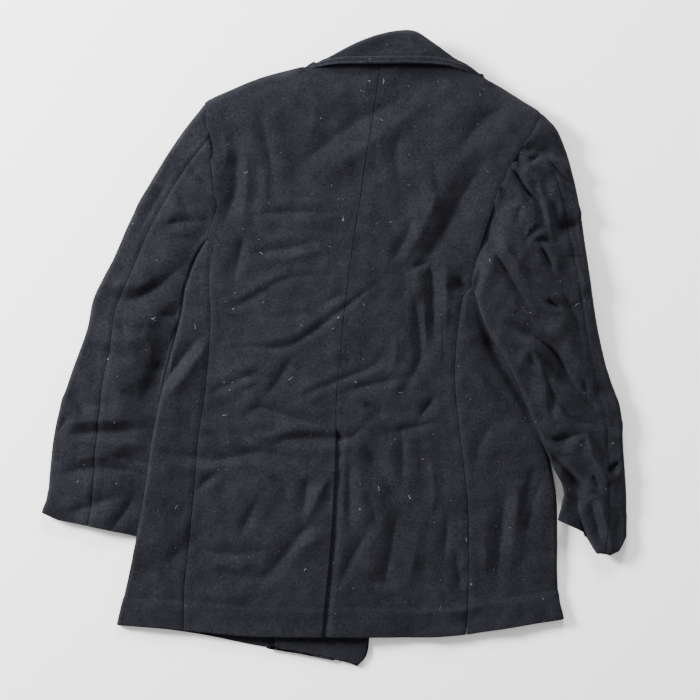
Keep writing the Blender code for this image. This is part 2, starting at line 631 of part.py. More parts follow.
class Sleeve:
    """One sleeve, read row by row from the armhole to the cuff."""

    def __init__(self, sections, armhole_points, seams, cuff_drop, folds, beneath, step):
        reach = [0.0]
        for a, b in zip(sections, sections[1:]):
            reach.append(reach[-1] + math.dist(a[:2], b[:2]) + math.dist(a[2:4], b[2:4]))
        self.table = [(r / reach[-1], *row) for r, row in zip(reach, sections)]
        self.armhole = by_length(armhole_points)
        self.chord = Vector(armhole_points[0]), Vector(armhole_points[-1])
        along = (self.chord[1] - self.chord[0]).normalized()
        outward = Vector((along.y, -along.x))
        down = Vector(sections[3][0:2]) - self.chord[0]
        self.clear = outward * math.copysign(ARMHOLE_GAP, outward.dot(down))
        self.seams, self.cuff_drop, self.folds = seams, cuff_drop, folds
        self.beneath, self.step = beneath, step

    def edges(self, t):
        """The outer and inner edge of a row, in plan."""
        row = spline(self.table, t)
        return Vector(row[0:2]), Vector(row[2:4])

    def plan(self, t, s):
        """A point across a row, in plan."""
        outer, inner = self.edges(t)
        bow = Vector(spline(self.armhole, s)) - self.chord[0].lerp(self.chord[1], s) + self.clear
        drop = Vector((0, linear(self.cuff_drop, s)[0]))
        return outer.lerp(inner, s) + bow * max(0.0, 1 - 3 * t) + drop * ease((t - 0.9) / 0.1)

    def low(self, t, s):
        """Height of the under face."""
        where = self.plan(t, s)
        return self.beneath(where.x, where.y)

    def high(self, t, s):
        """Height of the upper face, which starts level with the back at the armhole."""
        where = self.plan(t, s)
        at_outer, at_middle, at_inner = spline(self.table, t)[4:]
        if s < 0.5:
            own = at_outer + (at_middle - at_outer) * ease(2 * s)
        else:
            own = at_middle + (at_inner - at_middle) * ease(2 * s - 1)
        clear = ease(s / 0.12) * ease((1 - s) / 0.12)
        own += clear * folds_at(self.folds, where.x, where.y)
        joined = back_height(where.x, where.y)
        height = self.step(where.x, where.y, joined + (own - joined) * ease(t / 0.08))
        return max(height, self.low(t, s) + THINNEST_FOLD)

    def row(self, t, outer_side):
        """The skin points of the top sleeve at a row, or of the under sleeve."""
        back_seam, front_seam = linear(self.seams, t)
        fold_share = 0 if outer_side else 1
        outer, inner = self.edges(t)
        across = inner - outer
        inward = across.normalized() if outer_side else -across.normalized()
        low, high = self.low(t, fold_share), self.high(t, fold_share)
        turn = (high - low) / 2 / across.length
        end = turn if outer_side else 1 - turn
        fold = self.plan(t, fold_share)
        found = []
        for k in range(UPPER_COLUMNS + 1):
            s = back_seam + (end - back_seam) * k / UPPER_COLUMNS
            where, level = self.plan(t, s), self.high(t, s)
            found.append(skin((where.x, where.y, level), (where.x, where.y, level - CLOTH)))
        for share in (0.62, 0.27, 0.0):
            found.append(rounded(fold, inward, low, high, (high - low) / 2 * share))
        for share in (0.27, 0.62):
            found.append(rounded(fold, inward, low, high, (high - low) / 2 * share, below=True))
        beyond = [s for s in UNDERSIDE_SHARES if outer_side]
        for s in [end] + beyond + [front_seam]:
            where, level = self.plan(t, s), self.low(t, s)
            found.append(skin((where.x, where.y, level), (where.x, where.y, level + CLOTH)))
        return found

    def piece(self, name, outer_side, finish):
        """The top sleeve, round the outer fold, or the under sleeve, round the inner one."""
        grid = [self.row(i / SLEEVE_ROWS, outer_side) for i in range(SLEEVE_ROWS + 1)]
        return cloth_wall(name, pull_back(grid), finish)


def collar_piece(name, finish):
    """The collar as one band: up the stand, over the roll and down the fall."""
    stations = by_length([[(n + r + f) / 3 for n, r, f in zip(row, row[3:], row[6:9])] for row in COLLAR])
    table = [(station[0], *row) for station, row in zip(stations, COLLAR)]
    gaps = [(a, b) for (a, *_), (b, *_) in zip(table, table[1:])]
    steps = [a + (b - a) * share for a, b in gaps for share in ((0.0, 0.5) if b - a > 0.03 else (0.0,))]
    grid = []
    for station in steps + [1.0]:
        values = spline(table, station)
        neck, roll, free = (Vector(values[k:k + 3]) for k in (0, 3, 6))
        lift = Vector(values[9:12]).normalized()
        up = ((roll - neck) + (roll - free)) / 2
        up = (up - lift * up.dot(lift)).normalized()
        radius = values[12]
        cloth = min(COLLAR_CLOTH, radius - 0.8)
        centre = roll - up * radius
        row = []
        for share in (0.0, 0.5):
            outer = neck.lerp(centre, share) - lift * (radius * (0.7 + 0.3 * share))
            row.append(skin(outer, outer + lift * cloth))
        for degrees in (-90, -50, -15, 15, 50, 90):
            turn = math.radians(degrees)
            out = up * math.cos(turn) + lift * math.sin(turn)
            row.append(skin(centre + out * radius, centre + out * (radius - cloth)))
        for share in (0.35, 0.7, 1.0):
            outer = (centre + lift * radius).lerp(free, share)
            row.append(skin(outer, outer - lift * cloth))
        row = [tuple(Vector((p.x, p.y, max(p.z, 0.0))) for p in pair) for pair in row]
        grid.append(row)
    return cloth_wall(name, grid, finish)


def plate(name, outline, low, thickness, finish):
    """A flat piece of cloth with a straight-sided outline."""
    mesh = bmesh.new()
    base = mesh.faces.new([mesh.verts.new((x * MM, y * MM, low * MM)) for x, y in outline])
    raised = bmesh.ops.extrude_face_region(mesh, geom=[base])["geom"]
    moved = [v for v in raised if isinstance(v, bmesh.types.BMVert)]
    bmesh.ops.translate(mesh, verts=moved, vec=(0, 0, thickness * MM))
    return add_solid(name, mesh, finish)


def facing_piece(name, finish):
    """The left front's facing, on the front's inner face along its edge."""
    edge = by_length(FRONT_LEFT_EDGE)
    grid = []
    for i in range(25):
        t = 0.03 + 0.97 * i / 24
        outer = Vector(spline(edge, t))
        row = []
        for k in range(5):
            x = outer.x - 2 - 126 * k / 4
            hem_line = linear(sorted((px, py) for px, py in FRONT_LEFT_HEM), min(max(x, -252), 31))[0]
            y = max(outer.y, hem_line + 2)
            level = left_front_lift(x, y) + CLOTH + FACING_GAP
            row.append(skin((x, y, level + CLOTH), (x, y, level)))
        grid.append(row)
    return cloth_wall(name, grid, finish)


def button(name, x, y, finish):
    """A plain round button with a turned rim, lying under the front."""
    mesh = bmesh.new()
    profile = (
        (0, BUTTON_THICKNESS), (BUTTON_RADIUS * 0.85, BUTTON_THICKNESS), (BUTTON_RADIUS, BUTTON_THICKNESS * 0.6),
        (BUTTON_RADIUS, BUTTON_THICKNESS * 0.25), (BUTTON_RADIUS * 0.92, 0), (BUTTON_RADIUS * 0.7, 0),
        (BUTTON_RADIUS * 0.62, 1.0), (0, 1.0),
    )
    verts = [mesh.verts.new((r * MM, 0, z * MM)) for r, z in profile]
    for a, b in zip(verts, verts[1:]):
        mesh.edges.new((a, b))
    bmesh.ops.spin(
        mesh, geom=mesh.verts[:] + mesh.edges[:], axis=(0, 0, 1), cent=(0, 0, 0),
        steps=16, angle=math.tau, use_duplicate=False,
    )
    bmesh.ops.remove_doubles(mesh, verts=mesh.verts, dist=1e-6)
    piece = add_solid(name, mesh, finish)
    piece.location = (x * MM, y * MM, 0)
    return piece


def build():
    """Clears the scene and makes every piece of the coat."""
    for old in list(bpy.data.objects):
        bpy.data.objects.remove(old)
    cloth = melton("melton", MELTON_COLOUR, 0.95)
    horn = melton("button", BUTTON_COLOUR, 0.4)
    back_piece("back_left", ARMHOLE_LEFT, SIDE_SEAM_LEFT, SHOULDER_LEFT, NECK_LEFT, HEM_BACK_LEFT, cloth)
    back_piece(
        "back_right", ARMHOLE_RIGHT, SIDE_SEAM_RIGHT, SHOULDER_RIGHT, NECK_RIGHT, HEM_BACK_RIGHT, cloth,
        vent=True,
    )
    side_piece("side_left", SIDE_SEAM_LEFT, EDGE_LEFT, FOLD_LEFT, cloth)
    side_piece("side_right", SIDE_SEAM_RIGHT, EDGE_RIGHT, FOLD_RIGHT, cloth)
    left = Sleeve(
        LEFT_SLEEVE, ARMHOLE_LEFT, LEFT_SEAMS, LEFT_CUFF_DROP, LEFT_SLEEVE_FOLDS, nothing_beneath, no_step,
    )
    left.piece("sleeve_left_top", True, cloth)
    left.piece("sleeve_left_under", False, cloth)
    right = Sleeve(
        RIGHT_SLEEVE, ARMHOLE_RIGHT, RIGHT_SEAMS, RIGHT_CUFF_DROP, RIGHT_SLEEVE_FOLDS, body_beneath, cuff_step,
    )
    right.piece("sleeve_right_top", True, cloth)
    right.piece("sleeve_right_under", False, cloth)
    front_piece(
        "front_left", ARMHOLE_LEFT, SIDE_SEAM_LEFT, EDGE_LEFT, SHOULDER_LEFT, FRONT_LEFT_EDGE,
        FRONT_LEFT_HEM, left_front_lift, cloth,
    )
    front_piece(
        "front_right", ARMHOLE_RIGHT, SIDE_SEAM_RIGHT, EDGE_RIGHT, SHOULDER_RIGHT, FRONT_RIGHT_EDGE,
        FRONT_RIGHT_HEM, right_front_lift, cloth,
    )
    facing_piece("facing_left", cloth)
    collar_piece("collar", cloth)
    plate("lapel_left", LAPEL_LEFT, 0, COLLAR_CLOTH, cloth)
    plate("lapel_right", LAPEL_RIGHT, 0, COLLAR_CLOTH, cloth)
    for i, (x, y) in enumerate(button_places()):
        button(f"button_{i + 1}", x, y, horn)


build()
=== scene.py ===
"""A navy wool pea coat laid face down, its back uppermost, dressed and lit for its picture.

+Y runs towards the collar, +X towards the coat's right sleeve and +Z up off the surface. Sizes are in
millimetres, and MM turns them into metres where a mesh is made.
"""

import logging
import math
from collections.abc import Callable, Sequence
from dataclasses import dataclass, field
from enum import Enum

import bmesh
import bpy
import numpy as np
from bmesh.types import BMesh
from bpy.types import ID, Material, Node, NodeSocket, NodeTree, Object
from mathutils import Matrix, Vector
from mathutils.bvhtree import BVHTree

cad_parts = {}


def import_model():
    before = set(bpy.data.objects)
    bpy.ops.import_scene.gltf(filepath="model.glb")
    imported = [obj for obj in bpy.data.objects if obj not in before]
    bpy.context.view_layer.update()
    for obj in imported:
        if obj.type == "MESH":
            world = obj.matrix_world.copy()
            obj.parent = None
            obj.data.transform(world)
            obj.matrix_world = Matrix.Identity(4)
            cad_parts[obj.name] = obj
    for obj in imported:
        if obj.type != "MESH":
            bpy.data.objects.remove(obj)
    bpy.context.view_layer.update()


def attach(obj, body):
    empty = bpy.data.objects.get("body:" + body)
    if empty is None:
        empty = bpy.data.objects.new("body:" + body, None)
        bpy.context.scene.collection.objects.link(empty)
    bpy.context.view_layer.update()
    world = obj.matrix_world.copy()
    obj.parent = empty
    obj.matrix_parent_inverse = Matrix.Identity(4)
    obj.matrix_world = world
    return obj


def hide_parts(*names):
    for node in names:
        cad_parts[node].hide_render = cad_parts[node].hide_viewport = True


log = logging.getLogger("pea_coat")

Grid = np.ndarray  # points or values over rows and columns
Pair = tuple[float, float]
Colour = tuple[float, float, float]
Rows = tuple[tuple[float, ...], ...]

MM = 0.001

# Sizes that several pieces share
CLOTH = 2.5  # heavy melton
COLLAR_CLOTH = 4.5  # upper and under collar, bagged out together
HALF_GAP = 0.03  # each piece stops this far short of its seam
ARMHOLE_LAP = 1.1  # how far a sleeve's head laps onto the body
SEAM_BULGE = 0.55  # how round a sewn border's edge is
SEAM_PROFILE = ((-0.75, 0.0, 3.2), (0.35, 7.5, 4.0))  # a seam's trough and ridge: height, distance, width
HEM = 38.0  # how far the body's hem is turned up
HEM_STEP = 5.0  # how wide the step at the end of a hem's turning is
HEM_DIP = (-0.3, 4.0, 3.0)  # the dip above it: height, distance, width
RIM_TURNS = np.linspace(math.pi / 4, 3 * math.pi / 4, 3)  # where the rings of a rounded rim stand
LAYER_GAP = 0.5  # clear air between two layers that lie on each other
FACING_GAP = 0.7  # the same over the left front
RIGHT_FRONT_GAP = 0.9  # the same over the left front's facing
ARMPIT = 0.3  # row station of the armpit on every torso rail, from 0 at the shoulder to 1 at the hem
SHOULDER_FOLD = 0.0155  # row station where the shoulder's fold ends
FINE_STEP = 2.7  # between grid points where a piece shows
COARSE_STEP = 7.0  # the same where it is hidden
BUTTON_THICKNESS = 4.0
BUTTON_ROWS_Y = (158, 48, -62)
BUTTON_OFFSET = 46  # each column's distance from the line between them
VENT_TOP_Y = -131
VENT_GAP = 1.2  # air between the vent's two layers
VENT_LAP = 38  # how far the right back reaches under the left one below the vent's top
VENT_INSIDE = 14  # the right back starts to sink this far short of the centre
UNDER_TURN = 45  # how far a side panel reaches under the coat, in from the fold
THINNEST_FOLD = 6.6  # the least height between a sleeve's two faces
CROWN_HALF_WIDTH = 175
CENTRE_X_AT_ZERO = 10
CENTRE_LEAN = 0.103  # the centre seam's x for each millimetre of y
NEAR_UPRIGHT = (0.013, 0.021, 1.0)  # a direction that no thread runs along
FLOOR = ("floor",)
FRONTS = ("front_left", "front_right")

# Seams and edges, as (x, y) from the shoulder down
CENTRE_ABOVE = ((66, 404), (61, 373), (54, 325), (44, 264), (36, 209), (28, 159))
CENTRE_BELOW = (
    (28, 159), (21, 107), (14, 53), (9, -1), (3, -69), (2, -131), (-1, -205), (-6, -280), (-12, -341),
    (-17, -393),
)
ARMHOLE_LEFT = ((-177, 336), (-172, 291), (-167, 246), (-163, 207), (-166, 177), (-173, 149))
ARMHOLE_RIGHT = (
    (281, 322), (270, 294), (248, 261), (229, 224), (214, 185), (202, 148), (194, 118), (187, 90),
)
SIDE_SEAM_LEFT = (
    (-163, 145), (-169, 118), (-171, 87), (-169, 39), (-171, -1), (-177, -63), (-186, -124), (-192, -199),
    (-199, -267), (-205, -328), (-206, -384),
)
EDGE_LEFT = (
    (-175.5, 149), (-192.5, 122), (-204.5, 87), (-208.5, 53), (-216.5, 19), (-225.5, -15), (-233.5, -49),
    (-240.5, -83), (-248.5, -124), (-255, -171), (-263, -219), (-271, -262), (-282, -314), (-292, -355),
    (-297, -377),
)
SIDE_SEAM_RIGHT = (
    (188, 88), (175, 71), (169, 39), (165, -1), (164, -49), (169, -103), (176, -158), (182, -219),
    (183, -280), (182, -341), (180, -390),
)
EDGE_RIGHT = (
    (235, 86), (245, 50), (258, 5), (270, -49), (284, -110), (297, -167), (303, -205), (304, -260),
    (304, -307), (307, -344), (313, -369),
)

# Ends of the torso, as (x, y) from the side to the centre
SHOULDER_LEFT = ((-177, 336), (-163, 344), (-135, 356), (-101, 370), (-67, 379.5), (-45, 383.5))
NECK_LEFT = ((-45, 383.5), (-33, 382.5), (-16, 386.5), (8, 393), (38, 401), (66, 404))
SHOULDER_RIGHT = ((281, 322), (252, 341), (225, 358), (204.5, 368.5))
NECK_RIGHT = ((204.5, 368.5), (197, 370), (184, 376.5), (160, 388), (130, 396), (98, 402), (66, 404))
HEM_BACK_LEFT = ((-206, -384), (-160, -388), (-115, -392), (-60, -393), (-17, -393))
HEM_BACK_RIGHT = ((180, -390), (130, -394), (48, -395), (-17, -395))

# The fronts, under the back
FRONT_LEFT_HEM = ((-252, -383), (-183, -392), (-115, -405), (-47, -416), (14, -428), (31, -434))
FRONT_LEFT_EDGE = (
    (105, 196), (99, 140), (86, 12), (73, -137), (59, -287), (48, -385), (44, -418), (31, -434),
)
FRONT_RIGHT_EDGE = ((-41, 196), (-46, 140), (-53, 50), (-63, -69), (-77, -233), (-90, -372))
FRONT_RIGHT_HEM = ((268, -368), (180, -374), (60, -377), (-90, -372))

# Height of the back's outer face, as (y, over the centre seam, towards the sides)
BACK_HEIGHTS = (
    (-400, 14.5, 10), (-360, 17, 12), (-300, 19.5, 13.5), (-100, 22, 15), (60, 22.5, 17), (140, 23.5, 20),
    (200, 24, 23), (300, 25, 27), (350, 25, 25), (405, 23, 22),
)

# The fold at each side, as (y, lower face, upper face)
FOLD_LEFT = (
    (-400, 0, 10), (-340, 0, 11), (-300, 3, 15), (-262, 8.5, 19.5), (-160, 8.5, 20), (-60, 8.5, 20),
    (-20, 3, 17), (30, 0, 15), (90, 0, 17), (150, 0, 19.5),
)
FOLD_RIGHT = ((-400, 0, 10), (-340, 0, 11), (-200, 0, 12.5), (0, 0, 13.5), (90, 0, 15))

# Sleeve sections from armhole to cuff: the outer and inner edge, and the upper face's height at the
# outer edge, the middle and the inner edge
LEFT_SLEEVE = (
    # outer x, y, inner x, y, height at outer, middle, inner
    (-177, 336, -170.5, 148, 25, 26, 19),
    (-210, 294, -185.3, 135.5, 23, 25, 18),
    (-244, 241, -196.3, 113, 21, 24, 17),
    (-275, 184, -204.6, 84, 19, 23, 16),
    (-303, 120, -208.5, 53, 18, 21, 15),
    (-328, 71, -216.5, 19, 16, 20, 13),
    (-338, 26, -225.5, -15, 15, 19, 11),
    (-360, -35, -235.5, -56, 14, 18, 7.2),
    (-379, -97, -238, -103, 13, 16, 7.2),
    (-387, -151, -245, -158, 13, 15, 7.2),
    (-392, -201, -253, -212, 12, 14, 7.2),
    (-398, -224, -261, -258, 12, 14, 7.2),
)
RIGHT_SLEEVE = (
    (281, 322, 187, 92, 25, 27, 27),
    (301, 302, 191, 78, 24, 30, 31),
    (312, 280, 196, 60, 23, 32, 34),
    (323, 246, 203, 39, 22, 32, 34),
    (334, 196, 214, 16, 21, 31, 34),
    (341, 148, 231, -12, 20, 30, 33),
    (349, 94, 248, -45, 20, 29, 31),
    (358, 33, 263, -80, 19, 27, 29),
    (372, -29, 280, -121, 18, 26, 27),
    (390, -83, 295, -156, 17, 24, 23),
    (394, -137, 311, -190, 16, 22, 16),
    (398, -199, 309, -214, 15, 20, 8),
    (398, -262, 304, -233, 13, 17, 6.4),
)
# Along each sleeve, the share across its upper face where the back seam runs, and across its under face
# where the front seam runs
LEFT_SEAMS = ((0, 0.267, 0.9), (0.45, 0.27, 0.87), (0.7, 0.4, 0.87), (1, 0.45, 0.87))
RIGHT_SEAMS = ((0, 0.267, 0.9), (0.1, 0.14, 0.87), (0.5, 0.14, 0.87), (1, 0.3, 0.87))
# How far the cuff's hem lies above or below the line between its two edges, by the share across
LEFT_CUFF_DROP = ((0, 0), (0.15, -4), (0.5, -2), (1, 0))
RIGHT_CUFF_DROP = (
    (0, 6), (0.03, 1), (0.07, -8), (0.12, -18), (0.24, -26), (0.44, -28), (0.56, -12), (0.62, -6), (1, 0),
)
# The right cuff's upper layer folds back along this line, and the under layer shows beyond it
CUFF_STEP = ((313, -190), (357, -277))
CUFF_STEP_LEVEL = 7.0
CUFF_STEP_OVER = 5.5  # the distance across the line that the step takes
CUFF_STEP_BEFORE = 5  # how far before the line's start it begins
CUFF_STEP_FADE = 15  # the distance along the line that it deepens over

# The collar from the left front end, round the back, to the right front end: the neck seam, the roll
# and the free edge as x, y and height, and the direction from the stand to the fall
COLLAR = (
    # neck x, y, z, roll x, y, z, free edge x, y, z, direction x, y, z, the roll's radius
    (-22, 328, 9, 11, 338, 7.5, -64, 334, 0.2, 0, 0, -1, 7.5),
    (-30, 350, 11.5, -2, 364, 7.5, -66, 352, 0.2, 0, 0, -1, 7.5),
    (-28, 368, 12.5, -7, 376, 7, -50, 366, 0.3, -0.05, 0.15, -1, 6.2),
    (-30, 377, 12, -18, 382, 9.5, -43, 373.5, 5, -0.02, 0.07, -1, 4.2),
    (-33.7, 381.4, 12.9, -25.2, 386.7, 12.1, -37.1, 379.3, 10, 0, 0, -1, 2.6),
    (-34.7, 383, 13.7, -26.5, 388.7, 13.1, -39.2, 382.6, 11.6, -0.375, 0.6, -0.707, 2.6),
    (-35.1, 383.6, 15.5, -27, 389.6, 15.5, -40, 384, 15.5, -0.53, 0.85, 0, 2.6),
    (-34.7, 383, 17.3, -26.3, 389.8, 17.9, -39.2, 382.6, 19.4, -0.375, 0.6, 0.707, 2.6),
    (-33.7, 381.4, 18.1, -24.3, 389.6, 18.9, -37.1, 379.3, 21, 0, 0, 1, 2.6),
    (-23.5, 384.2, 19.6, -16, 393, 22.5, -25, 382.8, 25, 0, 0.1, 1, 3.2),
    (-13.5, 386.6, 20.6, -7, 396.5, 25.5, -15, 384, 29.5, 0, 0.1, 1, 4.2),
    (2, 392.2, 21.6, 9.5, 405.3, 28, 0, 385.5, 32, 0, 0.05, 1, 5.8),
    (20, 397.8, 22.6, 29, 415, 29.5, 20, 386, 33.5, 0, 0, 1, 7),
    (46, 404, 23.3, 56, 425.2, 30.5, 46, 386, 35, 0, 0, 1, 7.5),
    (76, 405.5, 23.8, 86, 431.5, 31, 78, 386, 36, 0, 0, 1, 7.5),
    (106, 401.6, 24, 110, 430.5, 31, 110, 386, 36, 0, 0, 1, 7.5),
    (131, 396.2, 24, 131, 417.5, 30, 137, 385, 35, 0, 0, 1, 7.2),
    (151, 391.6, 23, 149, 404.7, 28.5, 157, 383, 34, 0, 0.05, 1, 6),
    (167, 383.2, 21.6, 163.5, 394.4, 26, 171, 379.5, 31, 0, 0.1, 1, 4.6),
    (181.3, 377, 20, 178.5, 387.3, 22.8, 183.5, 376.3, 26.5, 0, 0.1, 1, 3.4),
    (187.4, 374, 19.2, 187, 382.3, 20.8, 188.4, 371.6, 23.6, 0, 0.05, 1, 2.9),
    (197.9, 367.7, 18.1, 194.8, 376.2, 18.9, 199.9, 365.4, 21, 0, 0, 1, 2.6),
    (199.3, 368.9, 17.3, 198.2, 374, 17.9, 202.8, 368, 19.4, 0.53, 0.467, 0.707, 2.6),
    (199.9, 369.4, 15.5, 200.3, 372.8, 15.5, 204, 369, 15.5, 0.75, 0.66, 0, 2.6),
    (199.3, 368.9, 13.7, 197, 371.5, 13.1, 202.8, 368, 11.6, 0.53, 0.467, -0.707, 2.6),
    (197.9, 367.7, 12.9, 194, 372.2, 12.1, 199.9, 365.4, 10, 0, 0, -1, 2.6),
    (192, 363.5, 12, 181, 372, 9.5, 205.5, 360.5, 5, 0.03, 0.05, -1, 4.2),
    (194, 355, 13, 167, 368, 7.5, 216, 350, 0.5, 0.05, 0.1, -1, 6.2),
    (196, 341, 12.5, 160, 355, 7.5, 230, 335, 0.2, 0, 0, -1, 7.5),
    (192, 318, 9, 134, 330, 7.5, 236, 312, 0.2, 0, 0, -1, 7.5),
)

# The left front's edge and its lapel's roll from the hem up, as (y, x)
LEFT_EDGE_UPWARDS = ((-434, 31), (-385, 48), (-137, 73), (12, 86), (196, 105), (262, 56), (382, -36))

# How the layers come down beside what holds them up
BUTTONS_FROM_Y = -344  # the left front rises from here up, clear of its hem, towards the buttons
BUTTONS_OVER = 240
BESIDE_EDGE = 10  # how far inside the left front's edge its height is taken
CROSSED_PAST = 64  # how far past that edge the right front is still held up, and how far it falls over
CROSSED_OVER = 40
BODY_PAST = 10  # the same for the right sleeve past the body's edge
BODY_OVER = 34
BODY_BELOW_ARMPIT = 2
BODY_GAP = 1.5

# Where buttons or a lapel hold a front up, as low and high x, low and high y, and the ramp about them
UNDER_LEFT = (-84, 112, -500, 500, 34)
UNDER_LEFT_LAPEL = (-84, 112, 190, 400, 40)
UNDER_RIGHT_LAPEL = (-20, 252, 190, 400, 40)

# Where each front's neck corner is lifted by the collar beneath it
NECK_CORNERS = ((-42, 374), (206, 360))
CORNER_LIFT = 5.0
CORNER_REACH = 13.0

# Each lapel's outline, turned out under its front
LAPEL_LEFT = ((100, 206), (46, 268), (6, 322), (-64, 322), (-74, 306), (-20, 214), (70, 200))
LAPEL_RIGHT = ((68, 262), (142, 314), (228, 300), (238, 286), (165, 205), (110, 206))

# The creases, each as its half width, its height, below 0 for a trough, then x and y along its path
BACK_CREASES = (
    (14, -2.8, 103, 359, 82, 336, 14, 298, -20, 271, -67, 230),
    (12, 1.8, 143, 344, 89, 309, 24, 262, -17, 227), (7, -2.2, -112, 339, -99, 311, -90, 271, -80, 223),
    (12, -4, -138, 284, -133, 257, -135, 216, -145, 182, -153, 162),
    (7, -2.2, -122, 159, -129, 128, -137, 91), (13, -2, -107, 271, -104, 223, -112, 173),
    (6, 1.4, -120, 271, -119, 216, -127, 167), (5, -1.6, -112, 180, -74, 185, 7, 186),
    (5, -1.7, -115, 129, -74, 135, -13, 146), (5, 1.2, -67, 125, -13, 133),
    (4.4, -1.3, -156, 50, -115, 67, -67, 94, -6, 101), (6, 0.9, -158, 63, -115, 79, -66, 106),
    (3.6, -1.6, -149, -1, -122, 3, -61, 5, 14, 56, 51, 84, 75, 101),
    (6, 1, -139, 12, -63, 18, 7, 65, 46, 94), (4.6, -1.5, -176, -63, -129, -42, -95, -24),
    (4.6, -1.5, -54, -8, -81, -49, -99, -73), (9, 2.6, -172, 10, -203, -35, -235, -72),
    (8, -3.2, -184, 16, -216, -24, -244, -56),
    (6, -2.2, -131, -101, -115, -86, -101, -80, -47, -97, 1, -107),
    (5, -2, -145, -103, -129, -117, -108, -124),
    (6, -2.4, -99, -132, -47, -121, 21, -121, 35, -110, 55, -90), (6, 1.3, -99, -120, -47, -110, 14, -110),
    (4, -1.4, -129, -58, -104, -50),
    (7, -2.2, -244, -140, -190, -148, -163, -152, -122, -144, -99, -140, -61, -148, -33, -150),
    (7, 1.4, -237, -152, -183, -162, -129, -156, -74, -158), (5, -1.7, -192, -199, -176, -181, -156, -167),
    (5, -1.5, -172, -186, -149, -199, -129, -216), (6, -2, -36, -169, -40, -205, -44, -233),
    (6, 1.7, -2, -165, -22, -199, -40, -239), (6, -2, -104, -205, -118, -233, -131, -260),
    (9, -2.8, -13, -238, -40, -246, -67, -280, -95, -311), (8, 1.8, -17, -256, -43, -268, -63, -298),
    (6, -1.6, -183, -273, -135, -280, -85, -271), (14, -2.6, -176, -246, -203, -273, -237, -294),
    (4.4, -1.7, -63, -72, 7, -42, 55, -22, 69, -1), (4.6, -1.5, 7, -60, 48, -49, 109, -35),
    (6, -3.4, 37, -73, 55, -83, 73, -97), (5, -2, 75, -113, 109, -107, 143, -97),
    (5, -2, 114, -97, 138, -63), (13, -4.4, 41, -124, 62, -165, 89, -205, 105, -226),
    (10, 2.2, 62, -129, 84, -170, 105, -200), (6, -1.8, 92, -103, 93, -151, 92, -199),
    (7, -2.2, 21, -144, 21, -233, 27, -267), (8, -2.4, 46, -246, 28, -280, 7, -321),
    (8, -2.4, 86, -226, 78, -267, 65, -341), (9, 1.4, 116, -233, 108, -287, 95, -339),
    (6, -2, 154, -226, 152, -267, 149, -301), (6, -2, 164, -267, 175, -341),
    (8, -2.6, 235, -185, 229, -246, 221, -328), (8, 1.6, 252, -178, 244, -246, 237, -321),
    (8, -2.4, 273, -158, 256, -226), (8, -2.2, 286, -171, 273, -205, 259, -260),
    (7, 1.8, 123, -311, 143, -341, 160, -358, 218, -344), (13, -3.5, 232, 332, 198, 305, 171, 271),
    (15, -4.6, 205, 257, 184, 223, 164, 189, 143, 148, 123, 124, 103, 107),
    (13, 2.8, 143, 223, 123, 169, 96, 128), (9, -4.4, 130, 128, 133, 80, 133, 39, 139, 5),
    (7, 2, 149, 118, 152, 67, 152, 19), (8, -3, 105, 87, 114, 39, 116, -15, 89, -63),
    (5, 1.8, 122, 67, 124, 26, 126, -4), (6, -1.7, 133, 257, 139, 230, 143, 203),
    (6, -2, 109, 182, 96, 148, 75, 114), (4, -2.2, 105, 110, 130, 118),
    (6, -2.2, 198, -29, 225, -58, 252, -83), (7, -2.6, 173, 91, 180, 75),
    (7, -1.8, 218, -97, 198, -131, 192, -165), (9, 1.2, -47, 67, -39, 50, -47, 26),
    (11, -3.2, 176, 98, 165, 84, 150, 80),
    (13, -4.6, 186, 72, 204, 30, 226, -18, 243, -48, 259, -75, 268, -102, 284, -132),
    (7, -1.3, -60, 345, -30, 318, -8, 300), (6, 1.4, -150, 300, -146, 268, -150, 240),
    (8, 1.2, -24, 340, -30, 300, -44, 262), (7, -1.4, 90, 300, 84, 262, 92, 226),
    (6, 1.2, 60, 240, 84, 214, 100, 206), (5, -1.3, -150, -30, -120, -38, -84, -36),
    (5, -1.2, -20, 60, 14, 74, 36, 72), (5, -1.3, -180, -110, -164, -122, -150, -140),
    (5, -1.4, -90, -170, -70, -188, -62, -212), (6, -1.3, -160, -300, -120, -312, -70, -306),
    (7, 1.1, -196, -330, -150, -338, -96, -330), (5, -1.4, 40, -190, 52, -214, 58, -244),
    (5, 1.3, 130, -150, 136, -190, 132, -226), (6, 1.4, 190, -220, 204, -262, 206, -310),
    (6, -1.2, 20, -300, 60, -318, 100, -312), (5, 1.2, 80, 30, 84, -6, 76, -36),
    (5, -1.1, -84, 50, -60, 44, -30, 50), (8, 1.2, -6, 5, 7, -4, 24, -1),
)
